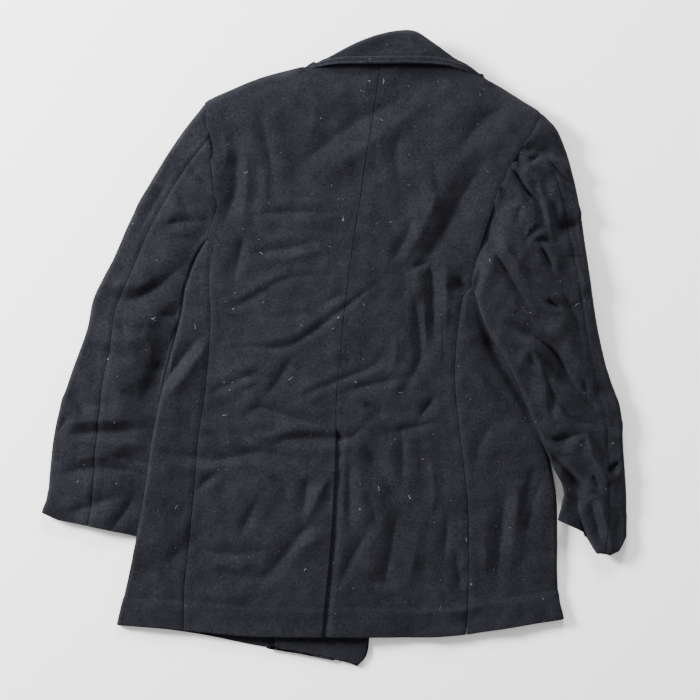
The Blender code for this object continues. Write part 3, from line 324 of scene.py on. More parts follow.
RIGHT_SLEEVE_CREASES = (
    (5, -2.4, 245, 264, 252, 249, 255, 237), (3.2, -3.8, 237, 248, 247, 238, 257, 221, 268, 209, 282, 196),
    (4, 1.6, 243, 250, 253, 239, 264, 221, 276, 209), (5, 2, 225, 241, 240, 222, 266, 190),
    (6, -2, 228, 226, 244, 189), (10, -4, 252, 271, 279, 269, 307, 264),
    (3.6, -2.6, 262, 251, 275, 261, 286, 262), (3.6, -2.6, 288, 259, 304, 243, 317, 229, 328, 221),
    (4, 1.2, 292, 264, 308, 249, 322, 234), (3.6, 2.8, 277, 230, 281, 208, 287, 191, 292, 170, 298, 148),
    (3.6, -2, 276, 216, 281, 192, 287, 170), (3.6, 1.6, 227, 225, 237, 212, 240, 194),
    (6, -2.2, 252, 196, 248, 169), (10, -4.4, 301, 163, 318, 166, 338, 173),
    (3.6, -2, 268, 146, 284, 147, 299, 143), (3.8, 1.8, 261, 148, 264, 162, 277, 170),
    (3.6, -1.6, 308, 205, 316, 196, 322, 188), (5, -2, 259, 141, 266, 159, 286, 169),
    (5, -3.6, 207, 148, 225, 118, 245, 87, 266, 53), (7, 2.4, 222, 155, 241, 124, 262, 90),
    (3.6, -3.4, 279, 140, 290, 122, 300, 102), (4, 1.5, 285, 142, 297, 124, 306, 104),
    (4, -3.4, 286, 67, 311, 53),
    (6, -4.4, 232, 35, 261, 22, 285, 9, 299, -2, 313, -30, 325, -47, 344, -71, 361, -91, 386, -111),
    (4.6, 2, 301, 2, 317, -23, 327, -42, 353, -80, 373, -102),
    (6, -2.4, 281, -10, 296, -31, 318, -50, 334, -67), (3.6, -1.5, 339, -44, 342, -56, 345, -67),
    (8, 3.2, 225, 20, 262, 5, 283, -35, 290, -97), (5, -2, 282, -24, 293, -60, 299, -92),
    (5, 2, 299, -75, 315, -94, 338, -109), (4.6, 2.6, 342, -112, 350, -140, 361, -162, 380, -189),
    (5, 2.4, 282, -122, 297, -134, 313, -148, 334, -170, 350, -191), (7, 2.2, 307, 15, 331, -16, 358, -58),
    (6, -2.6, 301, -69, 327, -97, 361, -103), (6, -2.6, 290, -140, 305, -152, 326, -176, 344, -200),
    (3.8, -3.2, 370, -172, 390, -153), (4.6, -2.8, 351, -170, 362, -193),
    (6, 2.4, 358, -199, 368, -233, 377, -269), (6, -2.2, 345, -203, 356, -235, 365, -271),
    (5.4, -2.4, 290, -122, 306, -124, 326, -118, 340, -112), (6, -2, 273, -26, 263, -1),
    (7, 1.8, 327, 121, 339, 94, 347, 67), (7, -2, 309, 80, 327, 39, 339, 5),
)
LEFT_SLEEVE_CREASES = (
    (6, -2.4, -199, 253, -183, 233, -165, 209), (5, -2, -213, 209, -194, 182),
    (5, -2.4, -231, 169, -203, 174, -176, 173), (5, 1.6, -233, 156, -213, 158, -190, 154),
    (10, -4, -319, 78, -278, 67, -237, 87, -206, 114), (10, 2.4, -308, 91, -273, 83, -237, 102),
    (6, -2, -237, 46, -203, 45), (6, -2, -299, 42, -281, 15), (7, -2.4, -319, 4, -271, -22),
    (7, -3.4, -367, -52, -349, -72, -337, -103), (6, -2.4, -380, -117, -362, -90),
    (9, -3.6, -373, -118, -319, -113, -251, -110), (8, 2.2, -371, -103, -319, -98, -265, -97),
    (6, 1.6, -367, -124, -305, -129, -251, -133), (7, -2.2, -305, -144, -258, -158),
    (7, -2.4, -380, -171, -319, -162, -254, -171), (7, -2.2, -367, -226, -319, -209, -285, -199),
    (6, -2, -305, -246, -285, -222, -271, -199), (12, -3.6, -237, -15, -248, -39, -262, -67),
    (7, 1.6, -265, 26, -251, 5, -251, -18), (7, -1.8, -292, -56, -267, -72),
    (7, 1.6, -353, -154, -333, -148, -305, -148), (8, -1.8, -226, 230, -248, 192, -265, 159),
    (13, -2.4, -200, 116, -210, 70, -218, 30, -230, -20, -242, -76),
)
COLLAR_CREASES = (
    (9, -0.9, 20, 392, 60, 404, 96, 408), (7, 0.8, 110, 398, 140, 406), (6, -0.9, 150, 392, 166, 402),
)


def ease(value: Grid) -> Grid:
    """0 up to 0, 1 from 1 on, and a smooth step between."""
    held = np.clip(value, 0.0, 1.0)
    return held * held * (3 - 2 * held)


def bell(offset: Grid, width: Grid | float) -> Grid:
    """1 where the offset is 0, falling away smoothly to both sides."""
    return np.exp(-((offset / width) ** 2))


def unit(vectors: Grid) -> Grid:
    """The vectors along the last axis, each at length 1."""
    return vectors / np.maximum(np.linalg.norm(vectors, axis=-1, keepdims=True), 1e-9)


def passed(points: Grid) -> Grid:
    """The distance along a line up to each of its points."""
    return np.concatenate([[0.0], np.cumsum(np.linalg.norm(np.diff(points, axis=0), axis=1))])


def spaced(length: float, step: float) -> Grid:
    """Shares from 0 to 1 about a step apart on a length."""
    return np.linspace(0.0, 1.0, max(2, math.ceil(length / step) + 1))


def stacked(plan: Grid, height: Grid | float) -> Grid:
    """Points in space over points in plan."""
    return np.concatenate([plan, np.broadcast_to(height, plan.shape[:-1])[..., None]], axis=-1)


class Track:
    """Rows of values at stations, read smoothly between them."""

    def __init__(self, stations: Sequence[float], values: Sequence[Sequence[float]]) -> None:
        """Keeps the table of rows and the rising stations where they stand."""
        self.stations = np.asarray(stations, float)
        self.values = np.asarray(values, float)

    @classmethod
    def keyed(cls, rows: Rows) -> "Track":
        """A track whose stations are the rows' first column."""
        return cls([row[0] for row in rows], [row[1:] for row in rows])

    @classmethod
    def by_length(cls, points: Sequence[Sequence[float]], start: float = 0.0, end: float = 1.0) -> "Track":
        """A track through points, its stations running from start to end with the distance along them."""
        reach = passed(np.asarray(points, float))
        return cls(start + (end - start) * reach / reach[-1], points)

    def at(self, station: Grid | float) -> Grid:
        """The smooth reading, by cubic pieces that share their slopes.

        Args:
            station: Stations in any shape.

        Returns:
            The values, along one more axis.
        """
        keys, values = self.stations, self.values
        last = len(keys) - 1
        i = np.clip(np.searchsorted(keys, station, side="right") - 1, 0, last - 1)
        before, after = np.maximum(i - 1, 0), np.minimum(i + 2, last)
        span = keys[i + 1] - keys[i]
        u = np.clip((station - keys[i]) / span, 0.0, 1.0)[..., None]
        leave = (values[i + 1] - values[before]) * (span / (keys[i + 1] - keys[before]))[..., None]
        arrive = (values[after] - values[i]) * (span / (keys[after] - keys[i]))[..., None]
        return (
            values[i] * (2 * u**3 - 3 * u**2 + 1) + leave * (u**3 - 2 * u**2 + u)
            + values[i + 1] * (3 * u**2 - 2 * u**3) + arrive * (u**3 - u**2)
        )

    def straight(self, station: Grid | float) -> Grid:
        """The straight-line reading, for stations in any shape."""
        return np.stack([np.interp(station, self.stations, column) for column in self.values.T], axis=-1)


@dataclass
class Rail:
    """A line down the coat in two stretches that meet at the armpit's station."""

    above: Sequence[Pair]
    below: Sequence[Pair]

    def at(self, station: Grid) -> Grid:
        """The rail's points at stations of any shape."""
        upper, lower = Track.by_length(self.above, 0, ARMPIT), Track.by_length(self.below, ARMPIT, 1)
        return np.where((station < ARMPIT)[..., None], upper.at(station), lower.at(station))


def patch(left: Grid, right: Grid, top: Track, bottom: Track, s: Grid, t: Grid) -> Grid:
    """The plan points stretched between four edges.

    Args:
        left: The left edge's point for each grid point.
        right: The right edge's point for each grid point.
        top: The top edge, from left to right.
        bottom: The bottom edge, from left to right.
        s: The share across of each grid point.
        t: The share down of each grid point.

    Returns:
        The points.
    """
    across, down = s[..., None], t[..., None]
    corners = (
        top.at(0.0) * (1 - across) * (1 - down) + top.at(1.0) * across * (1 - down)
        + bottom.at(0.0) * (1 - across) * down + bottom.at(1.0) * across * down
    )
    return left * (1 - across) + right * across + top.at(s) * (1 - down) + bottom.at(s) * down - corners


def back_level(plan: Grid) -> Grid:
    """Height of the back's outer face before its creases.

    Args:
        plan: Points as (x, y) along the last axis.

    Returns:
        The heights.
    """
    x, y = plan[..., 0], plan[..., 1]
    levels = Track.keyed(BACK_HEIGHTS).at(y)
    away = np.abs(x - CENTRE_X_AT_ZERO - CENTRE_LEAN * y) / CROWN_HALF_WIDTH
    return levels[..., 1] + (levels[..., 0] - levels[..., 1]) * ease(1 - away)


def arc(edge: Grid, inward: Grid, low: Grid, high: Grid, lean: Grid) -> Grid:
    """The outer face of a fold that joins an upper face at high to a lower face at low.

    Args:
        edge: Where the fold reaches furthest, in plan.
        inward: The plan direction away from the edge.
        low: Height of the lower face.
        high: Height of the upper face.
        lean: The angle up from level, from a quarter turn at the upper face to minus that at the lower.

    Returns:
        The points.
    """
    radius = (high - low) / 2
    centre = edge + inward * radius[..., None]
    plan = centre - inward * radius[..., None] * np.cos(lean)[..., None]
    return stacked(plan, (high + low) / 2 + radius * np.sin(lean))


def over_shoulder(plan: Grid, top: Grid, low: Grid, high: Grid, rows: int, below: bool) -> tuple[Grid, Grid]:
    """Turns a face down, or up, over the shoulder's fold.

    Args:
        plan: The face's points in plan.
        top: The fold's furthest point above each of them.
        low: Height of the lower face.
        high: Height of the upper face.
        rows: How many rows the fold has.
        below: True for the lower face.

    Returns:
        The points, and where they lie on the fold.
    """
    reach = np.linalg.norm(plan - top, axis=-1)
    inward = np.broadcast_to(unit(plan[rows : rows + 1] - top[rows : rows + 1]), plan.shape)
    radius = np.maximum((high - low) / 2, 1e-6)
    lean = np.arccos(np.clip(1 - reach / radius, 0.0, 1.0)) * (-1 if below else 1)
    return arc(top, inward, low, high, lean), reach < radius


@dataclass(frozen=True)
class Crease:
    """A soft trough or ridge along a path, dying away at its ends, with low shoulders beside it."""

    path: Grid
    half_width: float
    height: float  # below 0 for a trough
    shoulder: float = 0.3  # the shoulders' height, as a share
    reach: float = 3.6  # how many half widths it is felt over
    left_at_ends: float = 0.15
    fade_in: float = 0.3  # the shares of its length that it rises and dies over
    fade_out: float = 0.4
    narrow: float = 0.75  # its width at the ends, as a share of the half width
    swell: float = 0.5  # how much wider it is at its middle, as the same share
    steepness: float = 1.5  # how fast its sides fall away
    rounding: float = 0.06  # how round its crest is
    crest: float = 0.245  # the rounding's root, which brings the crest to its full height
    shoulder_away: float = 2.1  # where the shoulders stand, and how wide they are, as shares of its width
    shoulder_width: float = 1.2

    def relief(self, plan: Grid) -> Grid:
        """The crease's height at each plan point.

        Args:
            plan: Points as (x, y) along the last axis.

        Returns:
            The heights.
        """
        points = np.asarray(self.path, float)
        if len(points) > 2:
            points = Track.by_length(points).at(np.linspace(0, 1, 5 * len(points) - 4))
        reach = self.reach * self.half_width
        near = np.all((plan > points.min(axis=0) - reach) & (plan < points.max(axis=0) + reach), axis=-1)
        found = np.zeros(plan.shape[:-1])
        if not near.any():
            return found
        here = plan[near]
        starts = passed(points)
        off, along = np.full(len(here), np.inf), np.zeros(len(here))
        for start, step, begun in zip(points, np.diff(points, axis=0), starts):
            length = np.linalg.norm(step)
            share = np.clip((here - start) @ step / length**2, 0.0, 1.0)
            distance = np.linalg.norm(here - start - share[:, None] * step, axis=1)
            along = np.where(distance < off, begun + share * length, along)
            off = np.minimum(off, distance)
        share = along / starts[-1]
        fade = ease(share / self.fade_in) * ease((1 - share) / self.fade_out)
        strength = self.height * (self.left_at_ends + (1 - self.left_at_ends) * fade)
        wide = self.half_width * (self.narrow + self.swell * np.sin(math.pi * share))
        body = np.exp(-self.steepness * (np.sqrt((off / wide) ** 2 + self.rounding) - self.crest))
        beside = bell(off - self.shoulder_away * wide, self.shoulder_width * wide)
        found[near] = strength * (body - self.shoulder * beside)
        return found


@dataclass(frozen=True)
class Relief:
    """Everything that stands off a smooth piece of cloth: its creases and its slight unevenness."""

    creases: Rows  # each row a crease's half width and height, then its path's x and y
    seed: int
    unevenness: float = 0.7
    waves: int = 30
    strength: float = 1.6
    shortest: float = 22.0  # of the uneven waves
    longest: float = 95.0

    def at(self, plan: Grid) -> Grid:
        """The summed height at each plan point.

        Args:
            plan: Points as (x, y) along the last axis.

        Returns:
            The heights.
        """
        total = np.zeros(plan.shape[:-1])
        for half_width, height, *path in self.creases:
            total += self.strength * Crease(np.reshape(path, (-1, 2)), half_width, height).relief(plan)
        random = np.random.default_rng(self.seed)
        for _ in range(self.waves):
            length = random.uniform(self.shortest, self.longest)
            turn, phase = random.uniform(0, math.pi), random.uniform(0, math.tau)
            ahead = plan[..., 0] * math.cos(turn) + plan[..., 1] * math.sin(turn)
            across = plan[..., 1] * math.cos(turn) - plan[..., 0] * math.sin(turn)
            bent = ahead + 0.16 * length * np.sin(across / (0.9 * length) + 2 * phase)
            depth = self.unevenness * (length / self.longest) * 0.5
            total += depth * np.sin(math.tau * bent / length + phase)
        return total


class Border(Enum):
    """The four borders of a grid of points."""

    FIRST_ROW = 0
    LAST_ROW = 1
    FIRST_COLUMN = 2
    LAST_COLUMN = 3

    def slices(self, inside: int = 0) -> tuple[object, object]:
        """The grid's index of the border, or of the line a number of steps inside it."""
        index = -1 - inside if self in (Border.LAST_ROW, Border.LAST_COLUMN) else inside
        return (index, slice(None)) if self in (Border.FIRST_ROW, Border.LAST_ROW) else (slice(None), index)

    def distance(self, points: Grid) -> Grid:
        """How far each point lies from the border, along the grid.

        Args:
            points: The grid's points.

        Returns:
            The distances.
        """
        axis = 0 if self in (Border.FIRST_ROW, Border.LAST_ROW) else 1
        steps = np.linalg.norm(np.diff(points, axis=axis), axis=-1)
        zero = np.zeros_like(np.take(steps, [0], axis=axis))
        reach = np.concatenate([zero, np.cumsum(steps, axis=axis)], axis=axis)
        if self in (Border.LAST_ROW, Border.LAST_COLUMN):
            reach = np.take(reach, [-1], axis=axis) - reach
        return reach


def normals(points: Grid, up: bool = True) -> Grid:
    """Unit normals over a grid, pointing up, or down, at its highest point.

    Args:
        points: The grid's points.
        up: Which way they point there.

    Returns:
        The normals.
    """
    found = unit(np.cross(np.gradient(points, axis=0), np.gradient(points, axis=1)))
    highest = np.unravel_index(np.argmax(points[..., 2]), points.shape[:2])
    return found if (found[highest][2] > 0) == up else -found


def band(one: Grid, other: Grid) -> Grid:
    """Quads between two closed rings of point numbers, or between two stacks of them."""
    return np.stack([one, np.roll(one, -1, axis=-1), np.roll(other, -1, axis=-1), other], axis=-1)


def wall(start: int, rings: int, sides: int) -> list[list[int]]:
    """The quads round a stack of closed rings, whose points are numbered on from a start."""
    number = start + np.arange(rings * sides).reshape(rings, sides)
    return band(number[:-1], number[1:]).reshape(-1, 4).tolist()


@dataclass
class Shell:
    """A closed wall of cloth behind a grid of points, its cut borders rounded."""

    points: Grid
    thickness: float | Grid = CLOTH  # one number, or one for each row
    up: bool = True
    seams: Sequence[Border] = ()  # borders sewn to another piece, which sink a little
    hem: Pair | None = None  # how far the last row's turning reaches, and its rise
    gap: float = HALF_GAP

    def creased(self, relief: Relief) -> "Shell":
        """Moves the upper face by its relief, sinks its seams and raises its hem.

        Args:
            relief: What stands off the upper face.

        Returns:
            The shell itself.
        """
        facing = normals(self.points, self.up)
        looks_up = ease((facing[..., 2] - 0.1) / 0.55)
        lift = relief.at(self.points[..., :2]) * looks_up
        for border in self.seams:
            near = border.distance(self.points)
            lift += sum(height * bell(near - away, width) for height, away, width in SEAM_PROFILE)
        if self.hem is not None:
            reach, rise = self.hem
            near = Border.LAST_ROW.distance(self.points)
            lift += rise * ease((reach + HEM_STEP / 2 - near) / HEM_STEP)
            height, away, width = HEM_DIP
            lift += height * bell(near - reach - away, width)
        self.points = self.points + facing * lift[..., None]
        self.points[..., 2] = np.maximum(self.points[..., 2], 0.0)
        return self

    def _walls(self) -> tuple[Grid, Grid, Grid, Grid]:
        """Works out the two faces of the wall.

        Returns:
            The outer and inner faces, the normals between them and how far each border bulges.
        """
        facing = normals(self.points, self.up)
        outer = self.points.copy()
        depth = np.broadcast_to(np.asarray(self.thickness, float), outer.shape[:2]).copy()
        bulge = depth / 2
        for border in self.seams:
            bulge[border.slices()] = SEAM_BULGE
        for border in Border:
            edge, beside = border.slices(), border.slices(1)
            step = self.points[beside] - self.points[edge]
            inset = np.minimum(bulge[edge] + self.gap, 0.9 * np.linalg.norm(step, axis=-1))
            outer[edge] = outer[edge] + unit(step) * inset[:, None]
            bulge[edge] = np.minimum(bulge[edge], np.maximum(inset - self.gap, 0.1))
        return outer, outer - facing * depth[..., None], facing, bulge

    def faces(self) -> tuple[Grid, list[list[int]]]:
        """Closes the wall with a rounded rim.

        Returns:
            Its vertices, and its faces as their numbers.
        """
        outer, inner, facing, bulge = self._walls()
        total = bulge.size
        number = np.arange(total).reshape(bulge.shape)
        loop = np.concatenate([number[0, :-1], number[:-1, -1], number[-1, :0:-1], number[:0:-1, 0]])
        flat, back, turned = outer.reshape(-1, 3), inner.reshape(-1, 3), facing.reshape(-1, 3)
        along = np.roll(flat[loop], -1, axis=0) - np.roll(flat[loop], 1, axis=0)
        outward = unit(np.cross(along, turned[loop]))
        if outward[0] @ (flat[loop[0]] - flat[number[1, 1]]) < 0:
            outward = -outward
        middle, half = (flat[loop] + back[loop]) / 2, (flat[loop] - back[loop]) / 2
        reach = outward * bulge.reshape(-1)[loop][:, None]
        rings = [middle + half * math.cos(turn) + reach * math.sin(turn) for turn in RIM_TURNS]
        vertices = np.concatenate([flat, back, *rings])
        vertices[:, 2] = np.maximum(vertices[:, 2], 0.0)
        quads = np.stack([number[:-1, :-1], number[1:, :-1], number[1:, 1:], number[:-1, 1:]], axis=-1)
        quads = quads.reshape(-1, 4)
        rim = 2 * total + np.arange(len(rings) * len(loop)).reshape(len(rings), len(loop))
        levels = np.stack([loop, *rim, loop + total])
        sides = band(levels[:-1], levels[1:]).reshape(-1, 4)
        return vertices, np.concatenate([quads, quads[:, ::-1] + total, sides]).tolist()


def placed(name: str, data: ID) -> Object:
    """Puts an object in the scene.

    Args:
        name: Its name.
        data: Its mesh, light or camera.

    Returns:
        The object.
    """
    found = bpy.data.objects.new(name, data)
    bpy.context.scene.collection.objects.link(found)
    return found


def meshed(vertices: Grid, faces: list[list[int]]) -> BMesh:
    """Starts a mesh to work on.

    Args:
        vertices: Its points, in millimetres.
        faces: Its faces, each as the numbers of its points.

    Returns:
        The mesh.
    """
    draft = bpy.data.meshes.new("draft")
    draft.from_pydata((vertices * MM).tolist(), [], faces)
    found = bmesh.new()
    found.from_mesh(draft)
    bpy.data.meshes.remove(draft)
    return found


def made(name: str, mesh: BMesh, finish: Material) -> Object:
    """A smooth-shaded object of one finish that rides with the coat, its faces turned outwards.

    Args:
        name: The object's name.
        mesh: Its mesh, which is freed.
        finish: Its material.

    Returns:
        The object, in the scene.
    """
    bmesh.ops.recalc_face_normals(mesh, faces=mesh.faces)
    data = bpy.data.meshes.new(name)
    mesh.to_mesh(data)
    mesh.free()
    data.shade_smooth()
    data.materials.append(finish)
    piece = placed(name, data)
    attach(piece, "root")
    log.info("%s: %d faces", name, len(data.polygons))
    return piece


@dataclass
class Piece:
    """A piece of cloth: the solid it replaces, how it is cut and what it lies on."""

    name: str
    flat: Pair  # the width and length of its cut, in metres
    area: float  # the cut's, in square metres
    rests_on: Sequence[str]

    def sewn(self, form: tuple[Grid, list[list[int]]], finish: Material) -> Object:
        """Args:
            form: Its points in millimetres, and its faces as their numbers.
            finish: Its material.

        Returns:
            The object.
        """
        piece = made(f"{self.name}_cloth", meshed(*form), finish)
        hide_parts(self.name)
        both_faces = sum(face.area for face in piece.data.polygons)
        log.info("%s: %.4f square metres of cloth", piece.name, both_faces / 2)
        return piece


@dataclass
class BackHalf(Piece):
    """One half of the back, from its armhole and side seam to the centre seam."""

    armhole: Sequence[Pair]
    side_seam: Sequence[Pair]
    shoulder: Sequence[Pair]
    neck: Sequence[Pair]
    hem: Sequence[Pair]
    vented: bool = False
    length: float = 790.0
    step: float = FINE_STEP
    shoulder_rows: int = 9
    lap_columns: int = 22
    fold_fade: float = 0.12  # the share of the top edge that the shoulder's fold ends over, at the neck
    lap_over: float = 14.0  # the distance down the centre that the underlap widens over
    sink_above: float = 32.0  # how far above the vent's top the underlap starts to sink
    sink_over: float = 26.0  # the distance it takes down the centre, and the one it takes across
    sink_across: float = 10.0

    def stations(self) -> Grid:
        """The rows' stations: close together over the shoulder's fold, then even."""
        over = SHOULDER_FOLD * (1 - np.cos(np.linspace(0, math.pi / 2, self.shoulder_rows)))
        return np.concatenate([over, np.linspace(over[-1], 1.0, math.ceil(self.length / self.step))[1:]])

    def shares(self, side: Grid, centre: Grid) -> Grid:
        """Each point's share across, from the side to the centre and past it under the vent.

        Args:
            side: The side's point on every row.
            centre: The centre's point on every row.

        Returns:
            The shares, over 1 past the centre.
        """
        width = np.linalg.norm(centre - side, axis=-1)[:, None]
        columns = spaced(width.max(), self.step)[None, :]
        if not self.vented:
            return np.broadcast_to(columns, (len(side), columns.shape[1]))
        end = VENT_LAP * ease((VENT_TOP_Y - 1 - centre[:, 1]) / self.lap_over)[:, None]
        lap = np.linspace(0, 1, self.lap_columns)[None, 1:]
        last = 1 - VENT_INSIDE / width
        return np.concatenate([columns * last, last + lap * (VENT_INSIDE + end) / width], axis=1)

    def points(self) -> Grid:
        """The outer face before its creases.

        Returns:
            The points.
        """
        t = self.stations()
        side, centre = Rail(self.armhole, self.side_seam).at(t), Rail(CENTRE_ABOVE, CENTRE_BELOW).at(t)
        share = self.shares(side, centre)
        s, t = np.minimum(share, 1.0), np.broadcast_to(t[:, None], share.shape)
        crest, bottom = Track.by_length([*self.shoulder, *self.neck[1:]]), Track.by_length(self.hem)
        plan = patch(side[:, None], centre[:, None], crest, bottom, s, t)
        plan = plan + (centre - side)[:, None] * np.maximum(0.0, share - 1)[..., None]
        top = crest.at(s)
        high, flat = back_level(plan), back_level(top)
        if self.vented:
            short = (1 - share) * np.linalg.norm(centre - side, axis=-1)[:, None]
            sunk = ease((VENT_TOP_Y + self.sink_above - centre[:, 1]) / self.sink_over)[:, None]
            high = high - sunk * ease((VENT_INSIDE - short) / self.sink_across) * (CLOTH + VENT_GAP)
        level = stacked(plan, high)
        turned, on_fold = over_shoulder(plan, top, flat - high, high, self.shoulder_rows, below=False)
        neck_station = crest.stations[len(self.shoulder) - 1]
        blend = ease((neck_station - s) / self.fold_fade + 0.1) * on_fold
        return level + (turned - level) * blend[..., None]

    def build(self, relief: Relief, finish: Material) -> Object:
        seams = (Border.FIRST_ROW, Border.FIRST_COLUMN)
        return self.sewn(Shell(self.points(), seams=seams, hem=(HEM, 0.9)).creased(relief).faces(), finish)


@dataclass
class SidePanel(Piece):
    """A panel from the back's side seam round the fold and under to the front."""

    side_seam: Sequence[Pair]
    edge: Sequence[Pair]
    fold: Rows
    length: float = 545.0
    step: float = FINE_STEP
    fold_columns: int = 9
    under_columns: int = 6

    def points(self) -> Grid:
        """The outer face before its creases.

        Returns:
            The points.
        """
        seam, edge = Track.by_length(self.side_seam, ARMPIT, 1), Track.by_length(self.edge, ARMPIT, 1)
        t = ARMPIT + (1 - ARMPIT) * spaced(self.length, self.step)
        inner, outer = seam.at(t)[:, None], edge.at(t)[:, None]
        inward, width = unit(inner - outer), np.linalg.norm(inner - outer, axis=-1)
        levels = np.maximum(Track.keyed(self.fold).at(outer[..., 1]), 0.0)
        low, high = levels[..., 0], levels[..., 1]
        radius = (high - low) / 2
        share = 1 - spaced(np.max(width - radius), self.step)[None, :]
        plan = outer + inward * (radius + (width - radius) * share)[..., None]
        upper = stacked(plan, high + (back_level(plan) - high) * ease(share))
        lean = np.linspace(math.pi / 2, -math.pi / 2, 2 * self.fold_columns)[None, 1:-1]
        reach = radius + (UNDER_TURN - radius) * np.linspace(0, 1, self.under_columns)[None, :]
        settled = low * ease((UNDER_TURN - reach) / (UNDER_TURN - radius - 12))
        under = stacked(outer + inward * reach[..., None], settled)
        return np.concatenate([upper, arc(outer, inward, low, high, lean), under], axis=1)

    def build(self, relief: Relief, finish: Material) -> Object:
        seams = (Border.FIRST_COLUMN,)
        return self.sewn(Shell(self.points(), seams=seams, hem=(HEM, 0.8)).creased(relief).faces(), finish)


def within(plan: Grid, box: Sequence[float]) -> Grid:
    """1 inside a plan box, falling to 0 over the ramp outside it.

    Args:
        plan: Points as (x, y) along the last axis.
        box: Its low and high x, its low and high y, and the ramp's width.

    Returns:
        The values.
    """
    *sides, ramp = box
    found = np.ones(plan.shape[:-1])
    for at, low, high in zip(np.moveaxis(plan, -1, 0), sides[::2], sides[1::2]):
        found = found * np.minimum(ease((at - low + ramp) / ramp), ease((high + ramp - at) / ramp))
    return found


def over_collar(plan: Grid, corner: Pair) -> Grid:
    """How much further a front is held up at its neck corner, where the collar passes round it."""
    return CORNER_LIFT * bell(np.linalg.norm(plan - corner, axis=-1), CORNER_REACH)


def left_front_lift(plan: Grid) -> Grid:
    """How far the left front is held up by the buttons and its lapel beneath it.

    Args:
        plan: Points as (x, y) along the last axis.

    Returns:
        The heights.
    """
    above_hem = ease((plan[..., 1] - BUTTONS_FROM_Y) / BUTTONS_OVER)
    over_buttons = within(plan, UNDER_LEFT) * (BUTTON_THICKNESS + LAYER_GAP) * above_hem
    over_lapel = within(plan, UNDER_LEFT_LAPEL) * (COLLAR_CLOTH + LAYER_GAP)
    return np.maximum(over_buttons, over_lapel) + over_collar(plan, NECK_CORNERS[0])


def right_front_lift(plan: Grid) -> Grid:
    """How far the right front is held up by its own lapel, the left front and its facing.

    Args:
        plan: Points as (x, y) along the last axis.

    Returns:
        The heights.
    """
    x, y = plan[..., 0], plan[..., 1]
    edge = Track.keyed(LEFT_EDGE_UPWARDS).straight(y)[..., 0]
    beside = np.stack([np.minimum(x, edge - BESIDE_EDGE), y], axis=-1)
    crossed = left_front_lift(beside) + 2 * CLOTH + FACING_GAP + RIGHT_FRONT_GAP
    over_lapel = within(plan, UNDER_RIGHT_LAPEL) * (COLLAR_CLOTH + LAYER_GAP)
    over_edge = ease((edge + CROSSED_PAST - x) / CROSSED_OVER) * crossed
    return np.maximum(over_edge, over_lapel) + over_collar(plan, NECK_CORNERS[1])


@dataclass
class Front(Piece):
    """A front, from its armhole and underarm seam to its front edge and the lapel's roll."""

    armhole: Sequence[Pair]
    side_seam: Sequence[Pair]
    side_edge: Sequence[Pair]
    shoulder: Sequence[Pair]
    front_edge: Sequence[Pair]
    hem: Sequence[Pair]
    lift: Callable[[Grid], Grid]
    hem_station: float = 0.89  # where the rows draw closer
    lengths: tuple[float, float, float] = (230.0, 480.0, 75.0)  # to the armpit, on to that station, and on
    width: float = 250.0
    edge_share: float = 0.88  # where the columns draw closer
    edge_columns: int = 15
    fold_rows: int = 6

    def underarm(self, t: Grid) -> Grid:
        """The armhole, then the seam with the side panel.

        Args:
            t: The stations.

        Returns:
            The points at them.
        """
        outer = Track.by_length(self.side_edge, ARMPIT, 1).at(t)
        seam = outer + unit(Track.by_length(self.side_seam, ARMPIT, 1).at(t) - outer) * UNDER_TURN
        return np.where((t < ARMPIT)[..., None], Track.by_length(self.armhole, 0, ARMPIT).at(t), seam)

    def stations(self) -> Grid:
        """The rows' stations: close over the shoulder's fold and near the hem.

        Returns:
            The stations.
        """
        over = SHOULDER_FOLD * (1 - np.cos(np.linspace(0, math.pi / 2, self.fold_rows)))
        bounds = (over[-1], ARMPIT, self.hem_station, 1.0)
        steps = (COARSE_STEP, COARSE_STEP, FINE_STEP)
        runs = [
            np.linspace(start, end, math.ceil(length / step))[1:]
            for start, end, length, step in zip(bounds, bounds[1:], self.lengths, steps)
        ]
        return np.concatenate([over, *runs])

    def points(self) -> Grid:
        """The outer, lower face.

        Returns:
            The points.
        """
        t = self.stations()
        opening = Rail((self.shoulder[-1], self.front_edge[0]), self.front_edge)
        shoulder, bottom = Track.by_length(self.shoulder), Track.by_length(self.hem)
        fine = np.linspace(self.edge_share, 1.0, self.edge_columns)
        columns = np.concatenate([self.edge_share * spaced(self.width, COARSE_STEP)[:-1], fine])
        s = np.broadcast_to(columns[None, :], (len(t), len(columns)))
        down = np.broadcast_to(t[:, None], s.shape)
        plan = patch(self.underarm(t)[:, None], opening.at(t)[:, None], shoulder, bottom, s, down)
        top = shoulder.at(s)
        level, flat = self.lift(plan), back_level(top)
        turned, on_fold = over_shoulder(plan, top, level, flat - level, self.fold_rows, below=True)
        return np.where((on_fold & (down < 2 * SHOULDER_FOLD))[..., None], turned, stacked(plan, level))

    def build(self, finish: Material) -> Object:
        return self.sewn(Shell(self.points(), up=False).faces(), finish)


